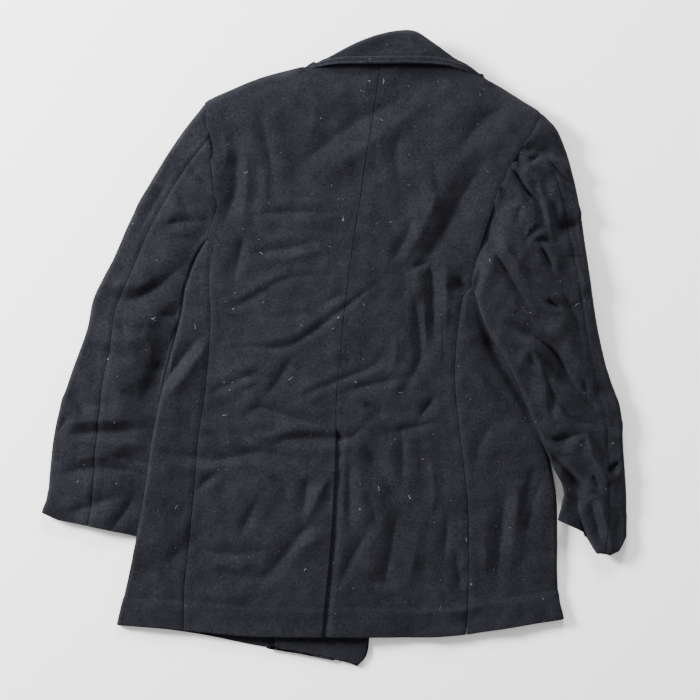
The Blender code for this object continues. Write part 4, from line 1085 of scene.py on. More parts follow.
@dataclass
class Facing(Piece):
    """The left front's facing, on the front's inner face along its edge."""

    edge: Sequence[Pair]
    hem: Sequence[Pair]
    start: float = 0.03  # where it begins on the edge, as a share from the top
    width: float = 126.0
    rows: int = 170
    columns: int = 36

    def points(self) -> Grid:
        """The upper face, which is the one that shows.

        Returns:
            The points.
        """
        outer = Track.by_length(self.edge).at(self.start + (1 - self.start) * np.linspace(0, 1, self.rows))
        x = outer[:, None, 0] - 2 - self.width * np.linspace(0, 1, self.columns)[None, :]
        y = np.maximum(outer[:, None, 1], Track.keyed(self.hem).straight(x)[..., 0] + 2)
        plan = np.stack([x, y], axis=-1)
        return stacked(plan, left_front_lift(plan) + 2 * CLOTH + FACING_GAP)

    def build(self, finish: Material) -> Object:
        relief = Relief((), seed=61, unevenness=0.2)
        return self.sewn(Shell(self.points(), hem=(30.0, 0.3)).creased(relief).faces(), finish)


def body_beneath(plan: Grid) -> Grid:
    """How far the right sleeve is held up by the body under it, falling away past the body's edge.

    Args:
        plan: Points as (x, y) along the last axis.

    Returns:
        The heights.
    """
    edge = np.array(EDGE_RIGHT[::-1], float)
    past_edge = np.maximum(0.0, plan[..., 0] - np.interp(plan[..., 1], edge[:, 1], edge[:, 0]))
    past_armpit = np.maximum(0.0, plan[..., 1] - EDGE_RIGHT[0][1] - BODY_BELOW_ARMPIT)
    share = ease(1 - (np.hypot(past_edge, past_armpit) - BODY_PAST) / BODY_OVER)
    return share * (back_level(plan) + BODY_GAP)


def nothing_beneath(plan: Grid) -> Grid:
    """The left sleeve lies on the surface."""
    return np.zeros(plan.shape[:-1])


def cuff_step(plan: Grid, height: Grid) -> Grid:
    """The right sleeve's upper face near the cuff: its own height, or the under layer's beyond the fold.

    Args:
        plan: Points as (x, y) along the last axis.
        height: Its own height at each of them.

    Returns:
        The heights.
    """
    start, end = np.array(CUFF_STEP, float)
    run = unit(end - start)
    off = plan - start
    across = ease(0.5 - (off[..., 0] * -run[1] + off[..., 1] * run[0]) / CUFF_STEP_OVER)
    along = ease((off @ run + CUFF_STEP_BEFORE) / CUFF_STEP_FADE)
    return height - np.maximum(0.0, height - CUFF_STEP_LEVEL) * (across * along)


def no_step(plan: Grid, height: Grid) -> Grid:
    """The left sleeve's upper face runs to its edge."""
    return height


@dataclass
class Sleeve:
    """One sleeve, in its two cut halves: the top one round the outer fold and the under one."""

    top: Piece
    under: Piece
    sections: Rows
    armhole: Sequence[Pair]
    seams: Rows
    cuff_drop: Rows
    beneath: Callable[[Grid], Grid]
    step_down: Callable[[Grid, Grid], Grid]
    length: float = 600.0
    fold_columns: int = 10
    cuff_from: float = 0.9  # the station that the hem starts to dip at
    cuff_over: float = 0.1  # the share of the length that it dips over
    head_over: float = 0.08  # the share that the head takes from the back's height to its own
    most_fold: float = 0.45  # the widest that a fold's radius may be, as a share of the width
    settle_over: float = 12.0  # the distance that the under face takes to settle beside the fold

    def __post_init__(self) -> None:
        """Sets the rows' stations by the distance along both edges, and the lap over the armhole."""
        rows = np.array(self.sections, float)
        reach = passed(rows[:, :2]) + passed(rows[:, 2:4])
        self.track = Track(reach / reach[-1], rows)
        self.armhole_track = Track.by_length(self.armhole)
        self.chord = np.array(self.armhole[0], float), np.array(self.armhole[-1], float)
        along = unit(self.chord[1] - self.chord[0])
        aside = np.array([along[1], -along[0]])
        self.lap = -aside * ARMHOLE_LAP * np.sign(aside @ (rows[-1, :2] - self.chord[0]))

    def plan(self, t: Grid, s: Grid) -> Grid:
        """Points across rows, in plan.

        Args:
            t: The rows' stations.
            s: The shares across, of the same shape.

        Returns:
            The points.
        """
        row, share = self.track.at(t), s[..., None]
        straight = self.chord[0] * (1 - share) + self.chord[1] * share
        bow = (self.armhole_track.at(s) - straight + self.lap) * np.maximum(0.0, 1 - 3 * t)[..., None]
        found = row[..., 0:2] * (1 - share) + row[..., 2:4] * share + bow
        found[..., 1] += self.drop(t, s)
        return found

    def drop(self, t: Grid, s: Grid) -> Grid:
        """How far the cuff's hem dips."""
        dip = ease((t - self.cuff_from) / self.cuff_over)
        return Track.keyed(self.cuff_drop).straight(s)[..., 0] * dip

    def low(self, t: Grid, s: Grid) -> Grid:
        """Height of the under face."""
        return self.beneath(self.plan(t, s))

    def high(self, t: Grid, s: Grid) -> Grid:
        """Height of the upper face, which starts level with the back at the armhole.

        Args:
            t: The rows' stations.
            s: The shares across, of the same shape.

        Returns:
            The heights.
        """
        plan, row = self.plan(t, s), self.track.at(t)
        outer, middle, inner = row[..., 4], row[..., 5], row[..., 6]
        outwards = outer + (middle - outer) * ease(2 * s)
        own = np.where(s < 0.5, outwards, middle + (inner - middle) * ease(2 * s - 1))
        joined = back_level(plan)
        height = self.step_down(plan, joined + (own - joined) * ease(t / self.head_over))
        return np.maximum(height, self.low(t, s) + THINNEST_FOLD)

    def points(self, outer_side: bool) -> Grid:
        """The outer face of one half before its creases.

        Args:
            outer_side: True for the top sleeve, round the outer fold.

        Returns:
            The points.
        """
        t = spaced(self.length, FINE_STEP)[:, None]
        seams = Track.keyed(self.seams).straight(t)
        row = self.track.at(t)
        across = row[..., 2:4] - row[..., 0:2]
        width, inward = np.linalg.norm(across, axis=-1), unit(across) * (1 if outer_side else -1)
        fold = np.full_like(t, 0.0 if outer_side else 1.0)
        end = fold
        for _ in range(3):  # the fold's radius and where it starts depend on each other
            low, high = self.low(t, fold), self.high(t, end)
            radius = (high - low) / 2
            end = np.abs(fold - np.clip(radius / width, 0.0, self.most_fold))
        back_seam, front_seam = seams[..., 0], seams[..., 1]
        shares = spaced(np.max(np.abs(end - back_seam) * width), FINE_STEP)[None, :]
        s = back_seam + (end - back_seam) * shares
        rows = np.broadcast_to(t, s.shape)
        upper = stacked(self.plan(rows, s), self.high(rows, s))
        lean = np.linspace(math.pi / 2, -math.pi / 2, 2 * self.fold_columns)[None, 1:-1]
        turned = arc(self.plan(t, end) - inward * radius[..., None], inward, low, high, lean)
        turned[..., 1] += self.drop(t, end + (fold - end) * np.cos(lean)) - self.drop(t, end)
        shares = spaced(np.max(np.abs(end - front_seam) * width), COARSE_STEP)[None, :]
        s = end + (front_seam - end) * shares
        rows = np.broadcast_to(t, s.shape)
        beside = ease(1 - np.abs(s - end) * width / self.settle_over)
        height = self.low(rows, s) + (low - self.low(t, end)) * beside
        return np.concatenate([upper, turned, stacked(self.plan(rows, s), height)], axis=1)

    def build(self, relief: Relief, finish: Material) -> list[Object]:
        """Makes both halves.

        Args:
            relief: The sleeve's creases.
            finish: Its material.

        Returns:
            The objects.
        """
        found = []
        for piece, outer_side in ((self.top, True), (self.under, False)):
            seams = (Border.FIRST_ROW, Border.FIRST_COLUMN)
            shell = Shell(self.points(outer_side), seams=seams, hem=(32.0, 0.7)).creased(relief)
            found.append(piece.sewn(shell.faces(), finish))
        return found


@dataclass
class Collar(Piece):
    """The collar as one band: up the stand, over the roll and down the fall."""

    columns: int = 260
    stitch_rows: Sequence[float] = (3.2, 10.0)  # the topstitching's distances from the free edge
    groove: float = 0.5
    stitched_above: float = 28.0  # the topstitching is drawn where the collar is higher than this

    def points(self) -> tuple[Grid, Grid]:
        """Works out the band from its table of sections.

        Returns:
            The outer face, a row for each station along the collar, and each row's thickness.
        """
        table = np.array(COLLAR, float)
        along = Track.by_length((table[:, 0:3] + table[:, 3:6] + table[:, 6:9]) / 3)
        values = Track(along.stations, table).at(np.linspace(0, 1, self.columns))[:, None]
        neck, roll, free, radius = values[..., 0:3], values[..., 3:6], values[..., 6:9], values[..., 12:13]
        lift = unit(values[..., 9:12])
        up = ((roll - neck) + (roll - free)) / 2
        up = unit(up - lift * np.sum(up * lift, axis=-1, keepdims=True))
        centre = roll - up * radius
        foot, head, top = neck - lift * radius * 0.7, centre - lift * radius, centre + lift * radius
        stand, fall = np.linspace(0, 1, 9)[None, :, None], np.linspace(0, 1, 20)[None, :, None]
        turn = np.linspace(-math.pi / 2, math.pi / 2, 18)[None, 1:-1, None]
        over = centre + radius * (up * np.cos(turn) + lift * np.sin(turn))
        found = np.concatenate([foot + (head - foot) * stand, over, top + (free - top) * fall], axis=1)
        found[..., 2] = np.maximum(found[..., 2], 0.0)
        return found, np.minimum(COLLAR_CLOTH, radius[:, 0] - 0.8)

    def along_fall(self, inside: float, points: Grid) -> Grid:
        """A line on the fall, a set distance in from its free edge."""
        near = Border.LAST_COLUMN.distance(points)
        return np.array([Track(off[::-1], row[::-1]).straight(inside) for row, off in zip(points, near)])

    def build(self, finish: Material) -> tuple[Object, list[Grid]]:
        """Args:
            finish: Its material.

        Returns:
            The object, and the lines of its topstitching.
        """
        points, depth = self.points()
        shell = Shell(points, thickness=depth, gap=0.0)
        shell.creased(Relief(COLLAR_CREASES, seed=7, unevenness=0.25))
        near = Border.LAST_COLUMN.distance(shell.points)
        dip = sum(bell(near - row, 1.7) for row in self.stitch_rows)
        puff = bell(near - sum(self.stitch_rows) / 2, 2.2)
        facing = normals(shell.points)
        lift = (0.45 * puff - self.groove * dip)[..., None] * ease(facing[..., 2:3] / 0.5)
        shell.points = shell.points + facing * lift
        lines = [self.along_fall(row, shell.points) for row in self.stitch_rows]
        return self.sewn(shell.faces(), finish), [line[line[:, 2] > self.stitched_above] for line in lines]


@dataclass
class Lapel(Piece):
    """A lapel, turned out flat under its front."""

    outline: Sequence[Pair]
    count: int = 120
    rings: int = 9

    def build(self, finish: Material) -> Object:
        """Args:
            finish: Its material.

        Returns:
            The object.
        """
        closed = Track.by_length([*self.outline, self.outline[0]])
        rim = closed.straight(np.linspace(0, 1, self.count, endpoint=False))
        middle, half = rim.mean(axis=0), COLLAR_CLOTH / 2
        outward = unit(rim - middle)
        inset = rim - outward * half
        flat = [middle + (inset - middle) * k / self.rings for k in range(1, self.rings + 1)]
        edge = [stacked(inset + outward * half * math.sin(a), half + half * math.cos(a)) for a in RIM_TURNS]
        rings = [*(stacked(plan, COLLAR_CLOTH) for plan in flat), *edge]
        rings += [stacked(plan, 0.0) for plan in reversed(flat)]
        vertices = np.concatenate([*rings, [[*middle, COLLAR_CLOTH], [*middle, 0.0]]])
        total = len(rings) * self.count
        last = total - self.count
        faces = wall(0, len(rings), self.count)
        for k in range(self.count):
            faces.append([(k + 1) % self.count, k, total])
            faces.append([last + k, last + (k + 1) % self.count, total + 1])
        return self.sewn((vertices, faces), finish)


def circle(x: float, y: float, z: float, radius: float, count: int) -> Grid:
    """Points round a level circle."""
    turn = np.linspace(0, math.tau, count, endpoint=False)
    return np.stack([x + radius * np.cos(turn), y + radius * np.sin(turn), np.full_like(turn, z)], axis=-1)


@dataclass
class Buttons:
    """Six plain four-hole buttons under the left front, their faces to the floor."""

    radius: float = 14.0
    thickness: float = BUTTON_THICKNESS
    steps: int = 96
    rim: float = 1.5  # the roundings of the back's rim and of the face's
    face_rim: float = 1.1
    hole_radius: float = 1.1
    hole_offset: float = 2.7
    hole_steps: int = 16
    aside: float = 8.0  # how far the middle between the columns lies past the centre seam

    def profile(self) -> list[Pair]:
        """The button's half section, from the middle of its back round to its face.

        Returns:
            Its points, as (radius, height).
        """
        r, h, a, b = self.radius, self.thickness, self.rim, self.face_rim
        back = [(r - a + a * math.sin(v), h - a + a * math.cos(v)) for v in np.linspace(0, math.pi / 2, 7)]
        face = [(r - b + b * math.cos(v), b - b * math.sin(v)) for v in np.linspace(0, math.pi / 2, 6)]
        well = [(r * 0.72, 0.0), (r * 0.68, 0.2), (r * 0.64, 0.8), (r * 0.6, 1.0), (r * 0.3, 1.1)]
        return [(r * 0.3, h), *back, *face, *well]

    def places(self) -> list[Pair]:
        """Where the buttons lie, from the top row down."""
        middles = [(CENTRE_X_AT_ZERO + CENTRE_LEAN * y + self.aside, y) for y in BUTTON_ROWS_Y]
        return [(x + side * BUTTON_OFFSET, y) for x, y in middles for side in (-1, 1)]

    def build(self, finish: Material, thread: Material) -> None:
        """Makes the buttons, each with its holes cut through and the thread that crosses them.

        Args:
            finish: The buttons' material.
            thread: The thread's material.
        """
        a = self.hole_offset
        bend = ((1, 0.9), (1, 0.55), (-1, 0.55), (-1, 0.9))  # the thread's side of the middle, and its height
        for number, (x, y) in enumerate(self.places(), start=1):
            piece = made(f"button_{number}_turned", self.disc(x, y), finish)
            piece.data.set_sharp_from_angle(angle=math.radians(40))
            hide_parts(f"button_{number}")
            crossing = [np.array([(x + side * a, y + side * b, z) for side, z in bend]) for b in (a, -a)]
            tube(f"button_{number}_thread", crossing, 0.35, thread)

    def disc(self, x: float, y: float) -> BMesh:
        """One button's mesh, its faces filled in about each hole.

        Args:
            x: Its middle's x.
            y: Its middle's y.

        Returns:
            The mesh.
        """
        profile = self.profile()
        rings = [circle(x, y, z, r, self.steps) for r, z in profile]
        mesh = meshed(np.concatenate(rings), wall(0, len(rings), self.steps))
        verts = list(mesh.verts)
        ends = [[verts[: self.steps]], [verts[-self.steps :]]]
        c = self.hole_offset
        for a, b in ((c, c), (-c, c), (-c, -c), (c, -c)):
            for loops, z in zip(ends, (profile[0][1], profile[-1][1])):
                hole = circle(x + a, y + b, z, self.hole_radius, self.hole_steps) * MM
                loops.append([mesh.verts.new(point) for point in hole])
        for loops in ends:
            edges = []
            for loop in loops:
                for one, other in zip(loop, loop[1:] + loop[:1]):
                    edges.append(mesh.edges.get((one, other)) or mesh.edges.new((one, other)))
            bmesh.ops.triangle_fill(mesh, edges=edges, use_beauty=True)
        for upper, lower in zip(ends[0][1:], ends[1][1:]):
            for k in range(self.hole_steps):
                mesh.faces.new((upper[k - 1], upper[k], lower[k], lower[k - 1]))
        return mesh


def tube(name: str, paths: Sequence[Grid], radius: float, finish: Material, sides: int = 6) -> None:
    """Makes round threads along paths, joined into one piece that rides with the coat.

    Args:
        name: The object's name.
        paths: Each thread's points.
        radius: The threads' radius.
        finish: The material.
        sides: How many sides each thread has round it.
    """
    vertices: list[Grid] = []
    faces: list[list[int]] = []
    turn = np.linspace(0, math.tau, sides, endpoint=False)[None, :, None]
    start = 0
    for path in paths:
        along = unit(np.gradient(path, axis=0))
        aside = unit(np.cross(along, NEAR_UPRIGHT))
        over = np.cross(aside, along)
        taper = np.ones((len(path), 1, 1))
        taper[[0, -1]] = 0.55
        ring = aside[:, None] * np.cos(turn) + over[:, None] * np.sin(turn)
        vertices.append((path[:, None] + radius * taper * ring).reshape(-1, 3))
        end = start + len(path) * sides
        faces += wall(start, len(path), sides)
        faces += [list(range(start, start + sides))[::-1], list(range(end - sides, end))]
        start = end
    made(name, meshed(np.concatenate(vertices), faces), finish)


@dataclass
class Topstitching:
    """Rows of short stitches that lie along lines on the cloth."""

    pitch: float = 4.0
    length: float = 2.9
    radius: float = 0.28
    lift: float = 0.12
    dips: Sequence[float] = (0.35, 0.05, 0.0, 0.05, 0.35)  # of a stitch's points, from end to end

    def stitches(self, line: Grid) -> list[Grid]:
        """The stitches of one row.

        Args:
            line: The row's points.

        Returns:
            Each stitch's points.
        """
        row = Track(passed(line), line)
        found = []
        for start in np.arange(1.0, row.stations[-1] - self.length, self.pitch):
            points = row.straight(start + self.length * np.linspace(0, 1, len(self.dips)))
            points[:, 2] += self.lift - np.array(self.dips)
            found.append(points)
        return found

    def build(self, name: str, lines: Sequence[Grid], finish: Material) -> None:
        """Makes the stitches of several rows as one piece."""
        tube(name, [stitch for line in lines for stitch in self.stitches(line)], self.radius, finish, sides=5)


@dataclass
class Lint:
    """Loose fibres that have settled on the cloth."""

    places: Sequence[tuple[float, float, float]] = (
        # x, y, turn in degrees
        (-246, 42, 20), (66, 363, 80), (64, 311, 130), (12, 175, 60), (-190, 30, 100), (-60, -40, 35),
        (120, -150, 150), (-300, -100, 70), (330, 60, 25), (-120, 240, 10), (180, -260, 95), (-40, -300, 55),
        (340, -60, 160), (-350, -180, 40), (40, 60, 115), (210, 120, 75), (-100, 130, 145), (90, -60, 5),
        (12, 176, 85), (-246, 40, 150), (-4, 222, 120), (-150, -90, 15), (-215, -215, 65), (60, -190, 100),
    )
    specks: int = 190
    radius: float = 0.12
    lift: float = 0.25  # how far a fibre's middle line lies over the cloth
    seed: int = 23

    def build(self, finish: Material, cloths: Sequence[Object]) -> None:
        """Lays each fibre, and the shorter specks between them, on the highest cloth beneath it.

        Args:
            finish: The fibres' material.
            cloths: The pieces that they may lie on.
        """
        depsgraph = bpy.context.evaluated_depsgraph_get()
        trees = [BVHTree.FromObject(piece, depsgraph) for piece in cloths]
        random = np.random.default_rng(self.seed)
        share = np.linspace(-0.5, 0.5, 9)
        fibres = [(*place, random.uniform(3, 8)) for place in self.places]
        specks = random.uniform((-380, -420, 0, 0.5), (390, 420, 180, 1.9), (self.specks, 4))
        paths = []
        for x, y, degrees, length in [*fibres, *specks]:
            bend, turn = random.uniform(-0.35, 0.35), math.radians(degrees)
            ahead, aside = share * length, bend * length * (0.25 - share**2) * 2
            points = []
            for px, py in zip(
                x + ahead * math.cos(turn) - aside * math.sin(turn),
                y + ahead * math.sin(turn) + aside * math.cos(turn),
            ):
                hits = [tree.ray_cast((px * MM, py * MM, 0.2), (0, 0, -1))[0] for tree in trees]
                heights = [hit.z / MM for hit in hits if hit is not None]
                if heights:
                    points.append((px, py, max(heights) + self.lift))
            if len(points) == len(share):
                paths.append(np.array(points))
        tube("lint", paths, self.radius, finish, sides=5)


class Wave:
    """A value in a material's node tree, whose arithmetic adds Math nodes."""

    def __init__(self, tree: NodeTree, socket: NodeSocket) -> None:
        """Wraps a node's output socket, in its tree."""
        self.tree, self.socket = tree, socket

    def _joined(self, kind: str, *values: "Wave | float", clamp: bool = False) -> "Wave":
        """A Math node over this value and others.

        Args:
            kind: The node's operation.
            values: Its inputs.
            clamp: True to hold the result from 0 to 1.

        Returns:
            The result.
        """
        node = self.tree.nodes.new("ShaderNodeMath")
        node.operation, node.use_clamp = kind, clamp
        Surface.fill(self.tree, node, dict(enumerate(values)))
        return Wave(self.tree, node.outputs[0])

    def __add__(self, other: "Wave | float") -> "Wave":
        """The sum."""
        return self._joined("ADD", self, other)

    def __sub__(self, other: "Wave | float") -> "Wave":
        """The difference."""
        return self._joined("SUBTRACT", self, other)

    def __rsub__(self, other: float) -> "Wave":
        """The difference, a number first."""
        return self._joined("SUBTRACT", other, self)

    def __mul__(self, other: "Wave | float") -> "Wave":
        """The product."""
        return self._joined("MULTIPLY", self, other)

    def over(self, level: float, width: float) -> "Wave":
        """0 below a level, 1 a width above it, straight between."""
        return self._joined("MULTIPLY", self - level, 1 / width, clamp=True)


@dataclass(frozen=True)
class Surface:
    """What every finish shares: a new material, and the nodes that it is made from."""

    name: str

    def start(self) -> tuple[Material, NodeTree, Node]:
        """Makes a new material.

        Returns:
            The material, its tree and its Principled shader.
        """
        found = bpy.data.materials.new(self.name)
        found.use_nodes = True
        return found, found.node_tree, found.node_tree.nodes["Principled BSDF"]

    @staticmethod
    def fill(tree: NodeTree, node: Node, inputs: dict[str | int, object]) -> None:
        """Sets a node's inputs.

        Args:
            tree: The node's tree.
            node: The node.
            inputs: Plain values, sockets or wrapped sockets, by the inputs' names or numbers.
        """
        for key, value in inputs.items():
            source = value.socket if isinstance(value, Wave) else value
            if isinstance(source, NodeSocket):
                tree.links.new(source, node.inputs[key])
            else:
                node.inputs[key].default_value = source

    def node(self, tree: NodeTree, kind: str, inputs: dict[str, object], **settings: object) -> Node:
        """Adds a node, with its settings first and then its inputs.

        Args:
            tree: The tree to add it to.
            kind: The node's type.
            inputs: Its inputs by name, as fill takes them.
            settings: Its properties.

        Returns:
            The node.
        """
        found = tree.nodes.new(kind)
        for key, value in settings.items():
            setattr(found, key, value)
        self.fill(tree, found, inputs)
        return found

    def noise(self, tree: NodeTree, scale: float, detail: float, rough: float) -> Wave:
        """Noise in the piece's own coordinates.

        Args:
            tree: The tree to add it to.
            scale: Waves to a metre.
            detail: How many finer layers it has.
            rough: How strong the finer layers are.

        Returns:
            The noise, about 0.5.
        """
        inputs = {"Vector": self.place(tree), "Scale": scale, "Detail": detail, "Roughness": rough}
        found = self.node(tree, "ShaderNodeTexNoise", inputs, noise_dimensions="3D")
        return Wave(tree, found.outputs["Fac"])

    def place(self, tree: NodeTree) -> NodeSocket:
        """The piece's own coordinates."""
        return self.node(tree, "ShaderNodeTexCoord", {}).outputs["Object"]

    def blend(self, tree: NodeTree, share: Wave, one: object, other: object) -> NodeSocket:
        """A colour between two, by a share."""
        inputs = {"Factor": share, "A": one, "B": other}
        return self.node(tree, "ShaderNodeMix", inputs, data_type="RGBA").outputs["Result"]

    def bump(self, tree: NodeTree, height: Wave, depth: float, strength: float) -> NodeSocket:
        """A normal that a height tilts."""
        inputs = {"Height": height, "Distance": depth, "Strength": strength}
        return self.node(tree, "ShaderNodeBump", inputs).outputs["Normal"]


@dataclass(frozen=True)
class Melton(Surface):
    """Heavy felted wool: a matt, slightly hairy face with worn, paler mottling and pale flecks."""

    dark: Colour = (0.0018, 0.0019, 0.0035)
    pale: Colour = (0.0112, 0.0113, 0.0155)
    fleck: Colour = (0.2, 0.2, 0.2)
    sheen_tint: Colour = (0.8, 0.82, 0.9)
    roughness: float = 0.95
    shine: float = 0.12
    sheen: float = 0.015
    nap: float = 0.0016  # depth of the felt's surface, in metres

    def material(self) -> Material:
        """Makes the material.

        Returns:
            The material.
        """
        found, tree, shader = self.start()
        broad = self.noise(tree, 16, 4, 0.6)
        cloud = self.noise(tree, 75, 5, 0.62)
        felt = self.noise(tree, 340, 6, 0.72)
        hair = self.noise(tree, 900, 3, 0.7)
        tone = (broad * 0.5 + cloud * 0.5 + felt * 1.7 + hair * 0.9).over(1.5, 0.62)
        mixed = self.blend(tree, tone, (*self.dark, 1), (*self.pale, 1))
        cells = {"Vector": self.place(tree), "Scale": 62.0, "Randomness": 1.0}
        spots = self.node(tree, "ShaderNodeTexVoronoi", cells, feature="F1")
        near = Wave(tree, spots.outputs["Distance"])
        fleck = (1 - near.over(0.045, 0.02)) * self.noise(tree, 31, 1, 0.5).over(0.6, 0.03)
        height = felt * 0.9 + hair * 0.5 + cloud * 0.35
        self.fill(tree, shader, {
            "Base Color": self.blend(tree, fleck * 0.55, mixed, (*self.fleck, 1)),
            "Roughness": self.roughness, "Specular IOR Level": self.shine,
            "Sheen Weight": self.sheen, "Sheen Roughness": 0.6, "Sheen Tint": (*self.sheen_tint, 1),
            "Normal": self.bump(tree, height, self.nap, 0.75),
        })
        return found


@dataclass(frozen=True)
class Plastic(Surface):
    """A button's smooth, dark plastic, worn a little matt."""

    colour: Colour = (0.012, 0.012, 0.014)
    roughness: float = 0.34
    wear: float = 0.24  # how far the roughness ranges

    def material(self) -> Material:
        """Makes the material.

        Returns:
            The material.
        """
        found, tree, shader = self.start()
        worn = self.noise(tree, 260, 5, 0.6) * self.wear + (self.roughness - self.wear / 2)
        self.fill(tree, shader, {"Base Color": (*self.colour, 1), "Roughness": worn})
        return found


@dataclass(frozen=True)
class Thread(Surface):
    """Spun thread, or a fibre."""

    colour: Colour = (0.02, 0.021, 0.029)
    roughness: float = 0.7
    twist: float = 900.0
    depth: float = 0.0003  # of the twist, in metres

    def material(self) -> Material:
        """Makes the material.

        Returns:
            The material.
        """
        found, tree, shader = self.start()
        ply = self.noise(tree, self.twist, 2, 0.5)
        self.fill(tree, shader, {
            "Base Color": (*self.colour, 1), "Roughness": self.roughness,
            "Normal": self.bump(tree, ply, self.depth, 0.6),
        })
        return found


@dataclass(frozen=True)
class Paper(Surface):
    """The plain white surface that the coat lies on."""

    colour: Colour = (0.88, 0.88, 0.88)
    roughness: float = 0.9
    shine: float = 0.1

    def material(self) -> Material:
        """Makes the material.

        Returns:
            The material.
        """
        found, tree, shader = self.start()
        self.fill(tree, shader, {
            "Base Color": (*self.colour, 1), "Roughness": self.roughness, "Specular IOR Level": self.shine,
        })
        return found


@dataclass(frozen=True)
class Lamp:
    """A square soft light that faces the middle of the scene."""

    name: str
    place: tuple[float, float, float]
    power: float
    size: float

    def build(self) -> None:
        """Adds the light."""
        light = bpy.data.lights.new(self.name, "AREA")
        light.energy, light.size = self.power, self.size
        holder = placed(self.name, light)
        holder.location = self.place
        holder.rotation_euler = (-Vector(self.place)).to_track_quat("-Z", "Y").to_euler()


@dataclass
class Studio:
    """The surface, the light and the camera overhead, in metres."""

    middle: Pair = (0.0211, -0.0014)  # what stands at the picture's centre
    width: float = 0.952  # what the picture takes in at the coat's height
    distance: float = 3.0
    height: float = 0.018
    sensor: float = 36.0  # in millimetres
    ground: float = 6.0
    sunk: float = 0.0002  # how far the ground lies below the coat
    sky: float = 0.85
    lamps: Sequence[Lamp] = (
        Lamp("key", (-2.5, 1.15, 1.4), 430.0, 0.8),
        Lamp("top", (0.2, 2.7, 1.5), 150.0, 0.9),
    )

    def build(self) -> None:
        """Lays the ground, hangs the lamps and sets the camera."""
        half = self.ground / 2
        corners = [(-half, -half, 0), (half, -half, 0), (half, half, 0), (-half, half, 0)]
        data = bpy.data.meshes.new("floor")
        data.from_pydata(corners, [], [(0, 1, 2, 3)])
        data.materials.append(Paper("paper").material())
        floor = placed("floor", data)
        floor.location.z = -self.sunk
        for lamp in self.lamps:
            lamp.build()
        world = bpy.data.worlds.new("studio")
        world.use_nodes = True
        sky = {"Color": (1, 1, 1, 1), "Strength": self.sky}
        Surface.fill(world.node_tree, world.node_tree.nodes["Background"], sky)
        bpy.context.scene.world = world
        lens = bpy.data.cameras.new("camera")
        lens.sensor_width = self.sensor
        lens.lens = self.sensor * self.distance / self.width
        camera = placed("camera", lens)
        camera.location = (*self.middle, self.distance + self.height)
        bpy.context.scene.camera = camera


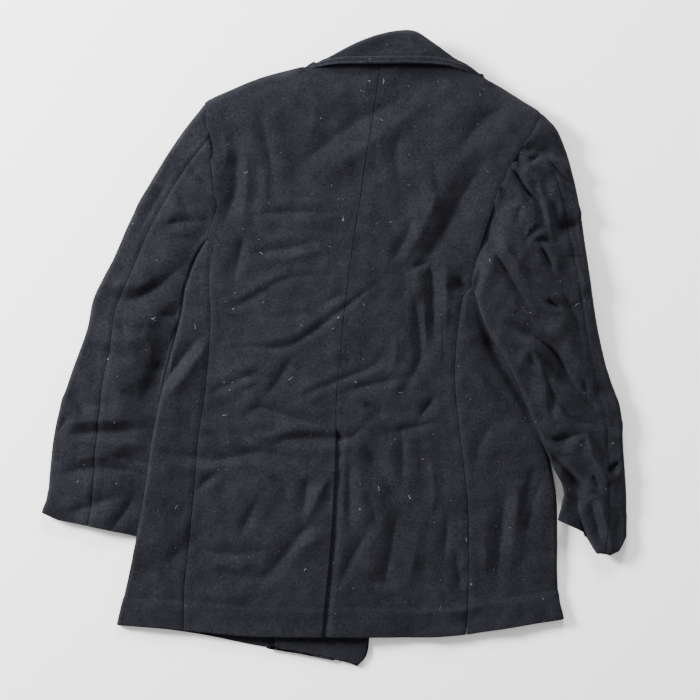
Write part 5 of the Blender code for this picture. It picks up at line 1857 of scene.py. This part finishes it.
@dataclass
class PeaCoat:
    """The whole coat: its cut pieces, their stitching and what lies on them."""

    melton: Material
    plastic: Material
    thread: Material
    fibre: Material
    shown: list[Object] = field(default_factory=list)

    def body(self) -> None:
        """Makes the back, the side panels, the fronts and the facing."""
        relief = Relief(BACK_CREASES, seed=11)
        left = ARMHOLE_LEFT, SIDE_SEAM_LEFT
        right = ARMHOLE_RIGHT, SIDE_SEAM_RIGHT
        creased = (
            BackHalf(
                "back_left", (0.25, 0.80), 0.165, FRONTS, *left, SHOULDER_LEFT, NECK_LEFT, HEM_BACK_LEFT,
            ),
            BackHalf(
                "back_right", (0.26, 0.80), 0.165, FRONTS, *right, SHOULDER_RIGHT, NECK_RIGHT,
                HEM_BACK_RIGHT, vented=True,
            ),
            SidePanel("side_left", (0.15, 0.55), 0.06, FLOOR, SIDE_SEAM_LEFT, EDGE_LEFT, FOLD_LEFT),
            SidePanel("side_right", (0.19, 0.50), 0.075, FLOOR, SIDE_SEAM_RIGHT, EDGE_RIGHT, FOLD_RIGHT),
        )
        fronts = (
            Front(
                "front_left", (0.36, 0.82), 0.22, FLOOR, *left, EDGE_LEFT, SHOULDER_LEFT,
                FRONT_LEFT_EDGE, FRONT_LEFT_HEM, left_front_lift,
            ),
            Front(
                "front_right", (0.38, 0.75), 0.22, FLOOR, *right, EDGE_RIGHT, SHOULDER_RIGHT,
                FRONT_RIGHT_EDGE, FRONT_RIGHT_HEM, right_front_lift,
            ),
        )
        self.shown += [piece.build(relief, self.melton) for piece in creased]
        for piece in fronts:
            piece.build(self.melton)
        facing = Facing("facing_left", (0.13, 0.62), 0.078, ("front_left",), FRONT_LEFT_EDGE, FRONT_LEFT_HEM)
        self.shown.append(facing.build(self.melton))

    def sleeves(self) -> None:
        """Makes both sleeves."""
        for side, rests_on, form, relief in (
            (
                "left", FLOOR,
                (LEFT_SLEEVE, ARMHOLE_LEFT, LEFT_SEAMS, LEFT_CUFF_DROP, nothing_beneath, no_step),
                Relief(LEFT_SLEEVE_CREASES, seed=29, unevenness=0.9, strength=1.5),
            ),
            (
                "right", ("side_right", "floor"),
                (RIGHT_SLEEVE, ARMHOLE_RIGHT, RIGHT_SEAMS, RIGHT_CUFF_DROP, body_beneath, cuff_step),
                Relief(RIGHT_SLEEVE_CREASES, seed=37, unevenness=1.1, strength=2.0),
            ),
        ):
            top = Piece(f"sleeve_{side}_top", (0.19, 0.60), 0.09, rests_on)
            under = Piece(f"sleeve_{side}_under", (0.12, 0.56), 0.055, rests_on)
            self.shown += Sleeve(top, under, *form).build(relief, self.melton)

    def collar(self) -> None:
        """Makes the collar with its topstitching, and the two lapels."""
        collar = Collar("collar", (0.46, 0.09), 0.032, ("back_left", "back_right"))
        piece, lines = collar.build(self.melton)
        self.shown.append(piece)
        Topstitching().build("collar_topstitching", lines, self.thread)
        Lapel("lapel_left", (0.17, 0.12), 0.0125, FLOOR, LAPEL_LEFT).build(self.melton)
        Lapel("lapel_right", (0.17, 0.11), 0.0115, FLOOR, LAPEL_RIGHT).build(self.melton)

    def build(self) -> None:
        """Makes everything in turn."""
        self.body()
        self.sleeves()
        self.collar()
        Buttons().build(self.plastic, self.thread)
        Lint().build(self.fibre, self.shown)


def main() -> None:
    """Builds the coat and its studio, and notes its size."""
    logging.basicConfig(level=logging.INFO, format="%(message)s")
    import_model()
    fibre = Thread("fibre", colour=(0.3, 0.3, 0.31), roughness=0.8)
    finishes = (Melton("melton_cloth"), Plastic("button_plastic"), Thread("sewing_thread"), fibre)
    PeaCoat(*(finish.material() for finish in finishes)).build()
    Studio().build()


if __name__ == "__main__":
    main()
